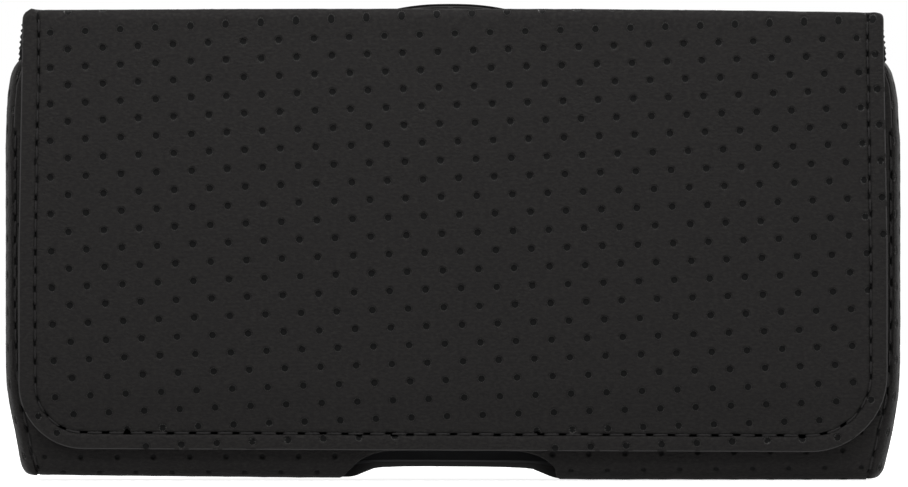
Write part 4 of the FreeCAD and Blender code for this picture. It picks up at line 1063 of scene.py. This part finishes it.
def build_pocket_leather():
    """The pocket's dotted leather from the back to the mouth, with its notch, side seams and hem."""
    at = wrap_places()
    outline = pocket_rim(0.0, at["cut"])
    hole = notch_outline()
    seams = side_seams()
    sewn = seams["left"] + seams["right"] + seams["mouth"]
    lines = [line for line, _pitch in sewn]
    holes = needle_holes(sewn, SLOT_REACH)
    dots = wrap_dots(at["cut"] - 2, at["mouth"] + 1, [outline, hole], sewn, 0.9)
    width = mm("dot_width") * 0.74
    fill = grid(np.arange(-80, 80.5, 2.2), wrap_rows(at["cut"] + 1, at["mouth"], 2.2, 0.6), 6)
    fill = fill[nearest(fill, dots) > width * 0.95]
    fill = fill[~within(fill, hole)]
    edge = mm("edge_round")
    marks = np.vstack([rings(dots, [width / 2 * r for r in DOT_RINGS[1:]], 10), dots, seam_marks(sewn),
                       edge_marks(outline, [edge * 0.4, edge, edge * 2.4]),
                       edge_marks(hole, [-edge * 0.4, -edge, -edge * 2.4])])
    marks = marks[~within(marks, hole)]

    def relief(flat):
        gap = distance_to(flat, outline, True)
        gap = np.where(flat[:, 1] < at["cut"] + 2.5, panel_half(flat[:, 1]) - np.abs(flat[:, 0]), gap)
        gap = np.minimum(gap, distance_to(flat, hole, True))
        uneven = 0.06 * wrinkle(flat, 2.0, 9.0, 1.6)
        uneven *= np.clip((flat[:, 1] - at["cut"]) / 6, 0, 1)
        side = np.clip(1 - (panel_half(flat[:, 1]) - np.abs(flat[:, 0])) / 1.3, 0, 1)
        uneven -= 0.35 * side ** 2 * (flat[:, 1] > at["foot_front"])
        return (uneven + edge_relief(gap, edge, edge) + seam_relief(flat, lines, holes, 0.2)
                + pit_relief(nearest(flat, dots), width, mm("dot_depth") * 0.8))

    back = grid(np.arange(-76, 77, 5.0), wrap_rows(at["cut"] + 2, at["mouth"], 4.0, 1.0), 7)
    back = back[~within(back, hole)]
    piece = sheet("pocket_leather", [outline, hole], on_wrap, relief, mm("leather"), fill, marks, back,
                  [(dots, width * DOT_FLOOR, 0), (holes, HOLE_WIDTH, 0)], edge=edge)
    dress_wrap(piece, "perforated_leather", [material(kind) for kind in LEATHER_FACES], "pocket",
               "pouch_cover")
    for side in ("left", "right"):
        thread = stitches("side_seam_" + side, seams[side], on_wrap, mm("thread"))
        dress(thread, "pouch", "thread", [material("thread")], "seam_" + side)
    thread = stitches("mouth_seam", seams["mouth"], on_wrap, mm("thread"))
    dress(thread, "pouch", "thread", [material("thread")], "mouth_stitching")


MAGNET_HALF = (8.0, 4.5)
# Half sizes of the rings of points that let a magnet's swelling show in the lining
MAGNET_MARKS = (MAGNET_HALF, (8.6, 5.1), (9.4, 5.9))
MAGNET_X = 45.0
MAGNET_HEIGHT = 20.0


def build_inner_layers():
    """Board and lining follow the leather, each a layer further in; the lining's inner face shows."""
    at = wrap_places()
    leather, padding, lining = mm("leather"), mm("padding"), mm("lining")
    hole = notch_outline()
    for part in ("flap", "pocket"):
        for layer, near, thick in (("board", leather, padding), ("lining", leather + padding, lining)):
            inset = 0.35 if layer == "board" else 0.1
            if part == "flap":
                end = at["top"] + 1.5 if layer == "board" else at["cut"]
                outlines = [closed_flap_rim(inset, end)]
                rows = wrap_rows(1.5, end, 3.0, 0.8)
            else:
                outlines = [pocket_rim(inset, at["cut"]), hole]
                rows = wrap_rows(at["cut"] + 1.5, at["mouth"], 3.0, 0.8)
            fill = grid(np.arange(-78, 79, 3.0), rows, 11)
            fill = fill[~within(fill, hole)]
            magnets = np.array([(x, s) for s in (MAGNET_HEIGHT - FLAP_FOOT, front_length(MAGNET_HEIGHT))
                                for x in (-MAGNET_X, MAGNET_X)])
            bars = [densify([(x - wide, y - tall), (x + wide, y - tall), (x + wide, y + tall),
                             (x - wide, y + tall)], 1.0)
                    for x, y in magnets for wide, tall in MAGNET_MARKS]
            marks = np.vstack(bars)
            marks = marks[within(marks, outlines[0])]
            inner = near + thick

            def place(flat, out, inner=inner):
                return on_wrap(flat, -inner - out)

            def relief(flat, layer=layer):
                if layer == "board":
                    return np.zeros(len(flat))
                gap = distance_to(flat, outlines[0], True)
                past = np.abs(flat[:, None] - magnets[None]) - MAGNET_HALF
                bulge = 0.16 * np.clip(1 - past.max(2).min(1) / 1.2, 0, 1)
                return bulge + edge_relief(gap, 0.8, 0.25) + 0.03 * wrinkle(flat, 1.0, 5.0)

            piece = sheet("{}_inner_{}".format(part, layer), outlines, place, relief, thick, fill, marks,
                          fill, flip=True)
            owner = "flap_" if part == "flap" else "pouch_"
            node = owner + ("stiffener" if layer == "board" else "lining")
            dress_wrap(piece, layer, [material(layer)], part, node)


# Gussets and elastic

# The gussets' outlines in the front view, from the foot up
GUSSET_LINES = {
    "left": [(-78.3, 0.78), (-79.2, 0.85), (-80.1, 1.15), (-80.8, 2.0), (-81.3, 3.55), (-82.4, 9.7),
             (-83.3, 14.0), (-83.85, 18.5), (-84.0, 24.0), (-84.0, 34.0), (-84.0, 50.0), (-84.0, 63.6),
             (-83.74, 70.5), (-83.44, 73.5), (-82.92, 76.1), (-82.25, 77.7), (-81.38, 78.76)],
    "right": [(78.3, 0.12), (79.1, 0.22), (79.9, 0.55), (80.6, 1.4), (81.05, 2.5), (82.2, 7.3),
              (83.4, 13.8), (83.85, 18.7), (84.0, 24.0), (84.0, 34.0), (84.0, 50.0), (84.0, 62.0),
              (83.8, 66.0), (83.4, 71.8), (82.6, 75.6), (82.0, 77.0), (81.2, 78.2)],
}
# One dot's place: inward from the front seam, and up the outline
GUSSET_DOT = {"left": (0.6, 70.5), "right": (1.0, 65.2)}
GUSSET_FULLNESS = 0.8
GUSSET_THICKNESS = 1.0


def smooth_line(points, step):
    """A curve through the points, as close points with their lengths along it."""
    points = np.array(points, float)
    ends = np.vstack([points[0] * 2 - points[1], points, points[-1] * 2 - points[-2]])
    result = []
    for k in range(1, len(ends) - 2):
        a, b, c, d = ends[k - 1:k + 3]
        count = max(2, math.ceil(np.linalg.norm(c - b) / step))
        for share in np.arange(count) / count:
            result.append(0.5 * (2 * b + (c - a) * share + (2 * a - 5 * b + 4 * c - d) * share ** 2
                                 + (3 * b - a - 3 * c + d) * share ** 3))
    result.append(points[-1])
    result = np.array(result)
    return result, lengths_along(result)


def gusset_section():
    """Turns from the seam to the seam over the gusset's bulge, by length along the section."""
    t = np.linspace(-math.pi / 2, math.pi / 2, 401)
    out = 3.1 * np.cos(t) ** GUSSET_FULLNESS
    along = 9.1 * np.sign(t) * np.abs(np.sin(t)) ** GUSSET_FULLNESS
    run = np.concatenate([[0], np.cumsum(np.hypot(np.diff(out), np.diff(along)))])
    return t, run - run[-1] / 2


def gusset_place(side_name):
    """A function that places flat points (a, w) on a gusset: a round its section, w up its outline."""
    sign = -1 if side_name == "left" else 1
    outline, run = smooth_line(GUSSET_LINES[side_name], 0.5)
    t_table, a_table = gusset_section()

    def base(flat):
        w = np.clip(flat[:, 1], 0, run[-1])
        x_out = np.interp(w, run, outline[:, 0]) * sign
        z_out = np.interp(w, run, outline[:, 1])
        low = np.clip(3.6 - z_out, 0, 3.6)
        half = 9.2 - (3.6 - np.sqrt(3.6 ** 2 - low ** 2)) * 0.8
        t = np.interp(flat[:, 0] * sign, a_table, t_table)
        heights, halves = np.array(FRONT_HALF).T
        front = np.interp(z_out, np.append(0, heights), np.append(FOOT_HALF, halves)) - 0.25
        rear = np.interp(z_out, [0, 12.6], [FOOT_HALF - 0.2, HALF_PANEL])
        x_seam = front + (rear - front) * (0.5 + 0.5 * np.sin(t))
        x_seam = np.minimum(x_seam, x_out - 0.02)
        bulge = np.cos(t) ** GUSSET_FULLNESS
        y = GUSSET_MIDDLE + half * np.sign(t) * np.abs(np.sin(t)) ** GUSSET_FULLNESS
        return np.stack([(x_seam + (x_out - x_seam) * bulge) * sign, y, z_out], 1)

    def place(flat, out):
        here = base(flat)
        step = 0.05
        across = base(flat + [step, 0]) - base(flat - [step, 0])
        upward = base(flat + [0, step]) - base(flat - [0, step])
        normal = np.cross(across, upward)
        size = np.linalg.norm(normal, axis=1)
        normal = np.where(size[:, None] > 1e-9, normal / np.maximum(size, 1e-9)[:, None], [sign, 0, 0])
        return here + normal * np.asarray(out)[:, None]

    return place, a_table[-1], run[-1]


def build_gussets():
    """The dotted, bulging leather at both ends of the pocket."""
    width = mm("dot_width")
    for side in ("left", "right"):
        place, half, top = gusset_place(side)
        outline = densify([(-half + 0.02, 0.3), (half - 0.02, 0.3), (half - 0.02, top - 0.1),
                           (-half + 0.02, top - 0.1)], 0.8)
        inward, height = GUSSET_DOT[side]
        column = (half - inward) * (1 if side == "left" else -1)
        dots = lattice(np.array([-half, 3.0]), np.array([half, top]), (column, height),
                       mm("dot_across"), mm("dot_down"))
        dots = dots[distance_to(dots, outline, True) > 0.5]
        fill = grid(np.arange(-half, half + 0.1, 0.8), np.arange(0.8, top, 1.2), 8)
        fill = fill[nearest(fill, dots) > width * 0.8]
        low = grid(np.arange(-half, half + 0.1, 0.8), np.arange(0.5, 6, 0.5), 9)
        marks = np.vstack([rings(dots, [width / 2 * r for r in DOT_RINGS[1:]], 10), dots, low])

        def relief(flat):
            gap = half - np.abs(flat[:, 0])
            return (edge_relief(gap, 0.7, 0.3) + 0.05 * wrinkle(flat, 6.0, 8.0)
                    + pit_relief(nearest(flat, dots), width, mm("dot_depth")))

        back = grid(np.arange(-half, half + 0.1, 1.2), np.arange(0.8, top, 1.6), 10)
        piece = sheet("gusset_leather_" + side, [outline], place, relief, GUSSET_THICKNESS, fill, marks,
                      back, [(dots, width * DOT_FLOOR, width)])
        dress(piece, "pouch", "perforated_leather", [material(kind) for kind in LEATHER_FACES],
              "gusset_" + side)


ELASTIC_PITCH = 1.12
ELASTIC_FRONT = -9.2
ELASTIC_BACK = 3.6


def build_elastic():
    """Ribbed elastic inside each gusset, which shows beside the flap above the shoulder."""
    for side, sign, top, reach in (("left", -1, 87.0, 81.45), ("right", 1, 85.6, 81.25)):
        corners = [(ELASTIC_FRONT, 15.0), (ELASTIC_BACK, 15.0), (ELASTIC_BACK, top), (ELASTIC_FRONT, 80.6)]
        if sign < 0:
            corners = [(-y, z) for y, z in corners][::-1]
        outline = densify(corners, 0.6)

        def place(flat, out, sign=sign, reach=reach):
            y, z = flat[:, 0] * sign, flat[:, 1]
            stand = np.interp(z, [0, 74.0, 78.6, 83.0, 85.4, 87.2],
                              [80.3, 80.3, reach - 0.15, reach - 0.3, reach - 0.45, reach - 1.15])
            shift = 0.22 * np.sin(2 * math.pi * z / ELASTIC_PITCH)
            shown = np.clip((z - 60) / 6, 0, 1)
            x = stand + shift * shown * 0.9 + np.asarray(out)
            return np.stack([x * sign, y, z], 1)

        def relief(flat):
            strands = 0.05 * np.cos(2 * math.pi * flat[:, 0] / 1.5)
            return strands + 0.03 * wrinkle(flat, 3.0, 1.0)

        low = grid(np.arange(-10, 10, 1.2), np.arange(15.5, 62, 2.0), 12)
        high = grid(np.arange(-10, 10, 0.7), np.arange(62, top, ELASTIC_PITCH / 7), 13)
        fill = np.vstack([low, high])
        piece = sheet("elastic_band_" + side, [outline], place, relief, 0.9, fill)
        dress(piece, "pouch", "elastic", [material("elastic")], "elastic_" + side)


# Belt clip

CLIP_X = -0.5
CLIP_TOP = 89.6
CLIP_ARCH = 55.0
CLIP_HALF = 19.0
CLIP_FOOT = 30.0
CLIP_STAND = BACK_FACE + 1.0 + 5.6
CLIP_JAW = BACK_FACE + 1.0 + 0.4
PIVOT_Y = BACK_FACE + 1.0 + 2.8
PIVOT_Z = 76.0
RIVETS = ((CLIP_X, 43.0), (CLIP_X, 65.0))
# Slots in the inner leather for the leaf's ears, from the clip's middle
EAR_SLOT = (12.0, 13.6)


def clip_line():
    """The clip's inner face from the side, from the tab down, as length, y and z with eased bends."""
    z = np.arange(CLIP_TOP, CLIP_FOOT - 0.01, -0.2)
    y = np.interp(z, [CLIP_FOOT, 37.0, 45.0, CLIP_TOP], [CLIP_JAW + 2.4, CLIP_JAW, CLIP_STAND, CLIP_STAND])
    kernel = np.ones(9) / 9
    y = np.convolve(np.pad(y, 4, mode="edge"), kernel, mode="valid")
    run = np.concatenate([[0], np.cumsum(np.hypot(np.diff(y), np.diff(z)))])
    return run, y, z


def clip_rim(inset):
    """The clip's flat outline: arched tab, straight sides and rounded foot."""
    run, _y, _z = clip_line()
    half = CLIP_HALF - inset
    end = run[-1] - inset
    xs = np.linspace(-half, half, 44)
    arch = CLIP_ARCH - np.sqrt(CLIP_ARCH ** 2 - xs ** 2)
    arch = np.where(np.abs(xs) < 7, arch * 0.6 + 0.05, arch) + inset
    padded = np.pad(arch, 3, mode="reflect", reflect_type="odd")
    softened = np.convolve(padded, np.ones(7) / 7, mode="valid")
    top = np.stack([xs + CLIP_X, np.maximum(softened, inset)], 1)[::-1]
    radius = 6.0 - inset
    left = CLIP_X - half
    right = CLIP_X + half
    foot_left = corner((left + radius, end - radius), radius, 180, 90, 12)
    foot_right = corner((right - radius, end - radius), radius, 90, 0, 12)
    return densify([tuple(p) for p in top] + foot_left + foot_right, 0.8)


def build_clip():
    """The clip's two leathers, sewn together round the steel leaf."""
    run, y_line, z_line = clip_line()
    seam_line = clip_rim(1.35)
    seams = [(np.vstack([seam_line, seam_line[:1]]), 3.0)]
    holes = needle_holes(seams)
    layers = (("clip_outer_leather", 2.5, 0.9, False, 0.0, "clip_cover"),
              ("clip_inner_leather", 0.0, 0.6, True, 0.45, "clip_lining"))
    for name, offset, thick, inner, inset, node in layers:
        outline = clip_rim(inset)
        full = clip_rim(0.0)
        outlines = [outline]
        if inner:
            slot_half = 2.9
            for side in (-1, 1):
                near, far = sorted((CLIP_X + EAR_SLOT[0] * side, CLIP_X + EAR_SLOT[1] * side))
                middle = CLIP_TOP - PIVOT_Z
                outlines.append(densify([(near, middle - slot_half), (far, middle - slot_half),
                                         (far, middle + slot_half), (near, middle + slot_half)], 0.6))

        def place(flat, out, offset=offset, inner=inner):
            gap = distance_to(flat, full, True)
            pinch = 0.42 * np.clip(1 - gap / 2.4, 0, 1) ** 1.4
            y = np.interp(flat[:, 1], run, y_line)
            z = np.interp(flat[:, 1], run, z_line)
            way = -1 if inner else 1
            return np.stack([flat[:, 0], y + offset + way * (np.asarray(out) - pinch), z], 1)

        def relief(flat, outlines=outlines):
            gap = distance_to(flat, outlines[0], True)
            return (edge_relief(gap, 0.5, 0.28) + seam_relief(flat, [seams[0][0]], holes, 0.14, 0.45)
                    + 0.04 * wrinkle(flat, 5.0, 7.0))

        fill = grid(np.arange(-20, 20, 1.5), np.arange(1, run[-1], 1.5), 14)
        for hole in outlines[1:]:
            fill = fill[~within(fill, hole)]
        marks = np.vstack([seam_marks(seams), edge_marks(outline, (-0.12, -0.3, -0.6))])
        marks = marks[within(marks, outline)]
        piece = sheet(name, outlines, place, relief, thick, fill, marks, fill, flip=inner, edge=0.3)
        dress(piece, "clip", "smooth_leather", [material("smooth"), material("floor"), material("edge")],
              node)
        if not inner:
            thread = stitches("clip_seam", seams, place, 0.42, 0.4, 0.1)
            dress(thread, "clip", "thread", [material("thread")])


def tube(name, line, width, sides=12):
    """A round wire along a line of points in millimetres."""
    line = np.array(line, float)
    along = np.gradient(line, axis=0)
    along /= np.linalg.norm(along, axis=1)[:, None]
    side = np.cross(along[0], [0.3, 0.8, 0.1])
    rings_made = []
    for middle, way in zip(line, along):
        side = side - way * (side @ way)
        side /= np.linalg.norm(side)
        over = np.cross(way, side)
        angle = np.arange(sides) * 2 * math.pi / sides
        ring = np.cos(angle)[:, None] * side + np.sin(angle)[:, None] * over
        rings_made.append(middle + ring * width / 2)
    faces = []
    for k in range(len(line) - 1):
        for a in range(sides):
            b = (a + 1) % sides
            faces.append((k * sides + a, k * sides + b, (k + 1) * sides + b, (k + 1) * sides + a))
    faces.append(tuple(reversed(range(sides))))
    faces.append(tuple((len(line) - 1) * sides + a for a in range(sides)))
    return add_mesh(name, np.vstack(rings_made), faces)


def turned(name, places, outline, sides=32):
    """Round pieces turned about +Y: outline is (radius, y) from the inside face to the outside crown."""
    points, faces = [], []
    rows = len(outline)
    for x, z in places:
        first = len(points)
        for radius, y in outline:
            for k in range(sides):
                angle = 2 * math.pi * k / sides
                points.append((x + radius * math.cos(angle), y, z + radius * math.sin(angle)))
        for row in range(rows - 1):
            for a in range(sides):
                b = (a + 1) % sides
                low = first + row * sides
                faces.append((low + a, low + sides + a, low + sides + b, low + b))
        faces.append(tuple(first + a for a in range(sides)))
        faces.append(tuple(first + (rows - 1) * sides + a for a in reversed(range(sides))))
    return add_mesh(name, np.array(points), faces)


def build_clip_metal():
    """The clip's steel: packed plate, leaf and pin in plated steel, with a wound spring and rivets."""
    for name, nodes in (("steel", ("clip_leaf", "clip_base_plate", "clip_backing_plate")),
                        ("bright", ("clip_pin", "flap_magnets", "pouch_magnets"))):
        for node in nodes:
            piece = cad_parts[node]
            piece.data.materials.clear()
            piece.data.materials.append(material(name))
    coil = 3.7 / 2
    turns = 5.5
    pitch = 0.95
    sides = 28
    start = CLIP_X - pitch * turns / 2
    line = []
    for k in range(int(turns * sides) + 1):
        angle = math.pi + 2 * math.pi * k / sides
        line.append((start + pitch * k / sides, PIVOT_Y + coil * math.cos(angle),
                     PIVOT_Z + coil * math.sin(angle)))
    first = [(line[0][0], line[0][1], PIVOT_Z + up) for up in np.linspace(6.5, 0.5, 7)]
    last = [(line[-1][0], line[-1][1], PIVOT_Z + up) for up in np.linspace(0.5, 6.5, 7)]
    piece = tube("torsion_spring", first + line + last, 0.7)
    dress(piece, "pouch", "spring_steel", [material("steel")], "clip_spring")
    seat = BACK_FACE + 1.0
    outline = [(1.6, BACK_FACE - 2.3), (1.6, seat), (2.9, seat), (3.0, seat + 0.15), (2.9, seat + 0.38),
               (2.5, seat + 0.62), (1.8, seat + 0.8), (1.0, seat + 0.88), (0.3, seat + 0.9)]
    piece = turned("rivets", RIVETS, outline)
    dress(piece, "pouch", "nickel", [material("bright")], "clip_rivets")


def build_loops():
    """The two strap loops with their box-and-cross stitching."""
    strap = 1.6
    sewn = 8.6
    bend = 1.8
    drop = 61.0
    rise = 3.82
    gap_run = 65.0 - 2 * (sewn + 5.0)
    rows = profile(BACK_FACE + strap, 78.0, -math.pi / 2, [
        sewn, (bend, -drop), rise, (bend, drop), gap_run, (bend, drop), rise, (bend, -drop), sewn])
    total = rows[-1, 0]
    half = 12.0
    for side, sign in (("left", -1), ("right", 1)):
        middle = 49.0 * sign

        def place(flat, out, middle=middle):
            y, z, ny, nz = on_profile(rows, flat[:, 1])
            out = np.asarray(out)
            return np.stack([flat[:, 0] + middle, y + ny * out, z + nz * out], 1)

        outline = densify([(-half, 0), (half, 0), (half, total), (-half, total)], 0.8)
        seams = []
        for low in (1.3, total - 7.3):
            box = [(-half + 2.2, low), (half - 2.2, low), (half - 2.2, low + 6.0), (-half + 2.2, low + 6.0)]
            for a, b in zip(box, box[1:] + box[:1]):
                seams.append((open_line([a, b], 0.6), 3.0))
            seams.append((open_line([box[0], box[2]], 0.6), 3.0))
            seams.append((open_line([box[1], box[3]], 0.6), 3.0))
        lines = [line for line, _pitch in seams]
        holes = needle_holes(seams)

        def relief(flat):
            gap = distance_to(flat, outline, True)
            return (edge_relief(gap, 0.7, 0.4) + seam_relief(flat, lines, holes, 0.12, 0.4)
                    + 0.05 * wrinkle(flat, 7.0, 8.0))

        fill = grid(np.arange(-half + 0.8, half, 1.3), np.arange(0.8, total, 0.7), 15)
        marks = edge_marks(outline, (0.15, 0.4, 0.8))
        piece = sheet("strap_loop_" + side, [outline], place, relief, strap, fill, marks,
                      grid(np.arange(-half + 1, half, 3.0), np.arange(0.8, total, 0.7), 16))
        dress(piece, "pouch", "smooth_leather", [material("smooth")], "belt_loop_" + side)
        thread = stitches("strap_seam_" + side, seams, place, 0.46)
        dress(thread, "pouch", "thread", [material("thread")], "loop_stitching_" + side)


# Floor, light and camera

CAMERA_DISTANCE = 3.0
SENSOR = 36.0
# The photo's pixel that shows x = 0 and z = 0
ZERO_COLUMN = 453
ZERO_ROW = 480


def seen_rays(tree):
    """1 for the rays that show the background: from the camera, or by way of metal and glass."""
    rays = add_node(tree, "ShaderNodeLightPath")
    either = add_node(tree, "ShaderNodeMath", {"operation": "MAXIMUM"},
                      {0: rays.outputs["Is Camera Ray"], 1: rays.outputs["Is Glossy Ray"]})
    return add_node(tree, "ShaderNodeMath", {"operation": "MAXIMUM"},
                    {0: either.outputs["Value"], 1: rays.outputs["Is Transmission Ray"]})


def build_stage():
    """White paper floor, white studio world, soft lamps and a far camera square to the front."""
    scene = bpy.context.scene
    scene.view_settings.view_transform = "Standard"
    bpy.ops.mesh.primitive_plane_add(size=8, location=(0, 0, -0.0002))
    floor = bpy.context.object
    floor.name = "floor"
    paper, tree, surface = new_material("white_paper_floor", {
        "Base Color": linear("F4F4F4") + (1.0,), "Roughness": 0.9, "Specular IOR Level": 0.1})
    fibre = add_node(tree, "ShaderNodeTexNoise", {"Scale": 900.0, "Detail": 3.0})
    bumped(tree, surface, fibre.outputs["Fac"], 0.1, 0.0002)
    white = add_node(tree, "ShaderNodeEmission", {"Strength": 0.45})
    seen = seen_rays(tree)
    place = add_node(tree, "ShaderNodeNewGeometry")
    away = add_node(tree, "ShaderNodeVectorMath", {"operation": "LENGTH"}, {0: place.outputs["Position"]})
    level = add_node(tree, "ShaderNodeMapRange", {"From Min": 0.1, "From Max": 0.5, "To Min": 0.72,
                                                  "To Max": 1.0}, {"Value": away.outputs["Value"]})
    glow = add_node(tree, "ShaderNodeMath", {"operation": "MULTIPLY"},
                    {0: seen.outputs["Value"], 1: level.outputs["Result"]})
    tree.links.new(glow.outputs["Value"], white.inputs["Strength"])
    total = add_node(tree, "ShaderNodeAddShader")
    tree.links.new(surface.outputs["BSDF"], total.inputs[0])
    tree.links.new(white.outputs["Emission"], total.inputs[1])
    output = next(node for node in tree.nodes if node.type == "OUTPUT_MATERIAL")
    tree.links.new(total.outputs["Shader"], output.inputs["Surface"])
    floor.data.materials.append(paper)

    world = bpy.data.worlds.new("white_studio")
    world.use_nodes = True
    scene.world = world
    tree = world.node_tree
    tree.nodes.clear()
    seen = seen_rays(tree)
    level = add_node(tree, "ShaderNodeMapRange", {"To Min": 0.1, "To Max": 1.0},
                     {"Value": seen.outputs["Value"]})
    sky = add_node(tree, "ShaderNodeBackground", {"Color": (1.0, 1.0, 1.0, 1.0)},
                   {"Strength": level.outputs["Result"]})
    output = add_node(tree, "ShaderNodeOutputWorld")
    tree.links.new(sky.outputs["Background"], output.inputs["Surface"])

    aim = Vector((0, 0, 0.05))
    for name, place, size, power in (
            ("top_softbox", (-0.01, -0.14, 0.25), 0.2, 0.46),
            ("left_softbox", (-0.2, -0.12, 0.2), 0.2, 0.3),
            ("right_softbox", (0.2, -0.12, 0.2), 0.2, 0.28),
            ("back_softbox", (0.6, 1.0, 0.7), 0.6, 7.0)):
        lamp = bpy.data.lights.new(name, "AREA")
        lamp.shape = "SQUARE"
        lamp.size = size
        lamp.energy = power
        holder = bpy.data.objects.new(name, lamp)
        scene.collection.objects.link(holder)
        holder.location = place
        holder.rotation_euler = (aim - Vector(place)).to_track_quat("-Z", "Y").to_euler()
        holder.visible_camera = False

    camera = bpy.data.cameras.new("camera")
    camera.sensor_width = SENSOR
    shown = PHOTO_WIDTH / PIXELS_PER_MM / 1000
    camera.lens = SENSOR * CAMERA_DISTANCE / shown
    camera.clip_end = 50
    holder = bpy.data.objects.new("camera", camera)
    scene.collection.objects.link(holder)
    centre_x = (PHOTO_WIDTH / 2 - ZERO_COLUMN) / PIXELS_PER_MM / 1000
    centre_z = (ZERO_ROW - PHOTO_HEIGHT / 2) / PIXELS_PER_MM / 1000
    holder.location = (centre_x, FLAP_FACE / 1000 - CAMERA_DISTANCE, centre_z)
    holder.rotation_euler = (math.pi / 2, 0, 0)
    scene.camera = holder


# Operators and panel

class POUCH_OT_flap(bpy.types.Operator):
    """Builds the flap's perforated leather and its seam"""
    bl_idname = "pouch.flap"
    bl_label = "Flap"

    def execute(self, context):
        build_flap_leather()
        return {"FINISHED"}


class POUCH_OT_pocket(bpy.types.Operator):
    """Builds the pocket's perforated leather, its side seams and its hem"""
    bl_idname = "pouch.pocket"
    bl_label = "Pocket"

    def execute(self, context):
        build_pocket_leather()
        return {"FINISHED"}


class POUCH_OT_layers(bpy.types.Operator):
    """Builds the board and the lining behind the leather"""
    bl_idname = "pouch.layers"
    bl_label = "Board and Lining"

    def execute(self, context):
        build_inner_layers()
        return {"FINISHED"}


class POUCH_OT_gussets(bpy.types.Operator):
    """Builds the bulging leather gussets at both ends"""
    bl_idname = "pouch.gussets"
    bl_label = "Gussets"

    def execute(self, context):
        build_gussets()
        return {"FINISHED"}


class POUCH_OT_elastic(bpy.types.Operator):
    """Builds the ribbed elastic inside the gussets"""
    bl_idname = "pouch.elastic"
    bl_label = "Elastic"

    def execute(self, context):
        build_elastic()
        return {"FINISHED"}


class POUCH_OT_clip(bpy.types.Operator):
    """Builds the belt clip's two leathers and their seam"""
    bl_idname = "pouch.clip"
    bl_label = "Belt Clip"

    def execute(self, context):
        build_clip()
        return {"FINISHED"}


class POUCH_OT_clip_metal(bpy.types.Operator):
    """Finishes the clip's steel and builds its spring and rivets"""
    bl_idname = "pouch.clip_metal"
    bl_label = "Clip Metal"

    def execute(self, context):
        build_clip_metal()
        return {"FINISHED"}


class POUCH_OT_loops(bpy.types.Operator):
    """Builds the two strap loops and their stitching"""
    bl_idname = "pouch.loops"
    bl_label = "Strap Loops"

    def execute(self, context):
        build_loops()
        return {"FINISHED"}


class POUCH_OT_stage(bpy.types.Operator):
    """Sets the floor, the light and the camera"""
    bl_idname = "pouch.stage"
    bl_label = "Stage"

    def execute(self, context):
        build_stage()
        return {"FINISHED"}


OPERATORS = (POUCH_OT_flap, POUCH_OT_pocket, POUCH_OT_layers, POUCH_OT_gussets, POUCH_OT_elastic,
             POUCH_OT_clip, POUCH_OT_clip_metal, POUCH_OT_loops, POUCH_OT_stage)


class POUCH_PT_panel(bpy.types.Panel):
    """Lists the pouch's sizes, colours and pieces"""
    bl_idname = "POUCH_PT_panel"
    bl_label = "Phone Pouch"
    bl_space_type = "VIEW_3D"
    bl_region_type = "UI"
    bl_category = "Pouch"

    def draw(self, context):
        for group in (context.scene.pouch_sizes, context.scene.pouch_colours):
            box = self.layout.box()
            for name in group.__annotations__:
                box.prop(group, name)
        for operator in OPERATORS:
            self.layout.operator(operator.bl_idname)


CLASSES = (PouchSizes, PouchColours) + OPERATORS + (POUCH_PT_panel,)


def register():
    for entry in CLASSES:
        bpy.utils.register_class(entry)
    bpy.types.Scene.pouch_sizes = PointerProperty(type=PouchSizes)
    bpy.types.Scene.pouch_colours = PointerProperty(type=PouchColours)


def unregister():
    del bpy.types.Scene.pouch_colours
    del bpy.types.Scene.pouch_sizes
    for entry in reversed(CLASSES):
        bpy.utils.unregister_class(entry)


def main():
    register()
    bpy.ops.pouch.stage()
    bpy.ops.pouch.flap()
    bpy.ops.pouch.pocket()
    bpy.ops.pouch.layers()
    bpy.ops.pouch.gussets()
    bpy.ops.pouch.elastic()
    bpy.ops.pouch.clip()
    bpy.ops.pouch.clip_metal()
    bpy.ops.pouch.loops()
    bpy.context.view_layer.update()


if __name__ == "__main__":
    main()
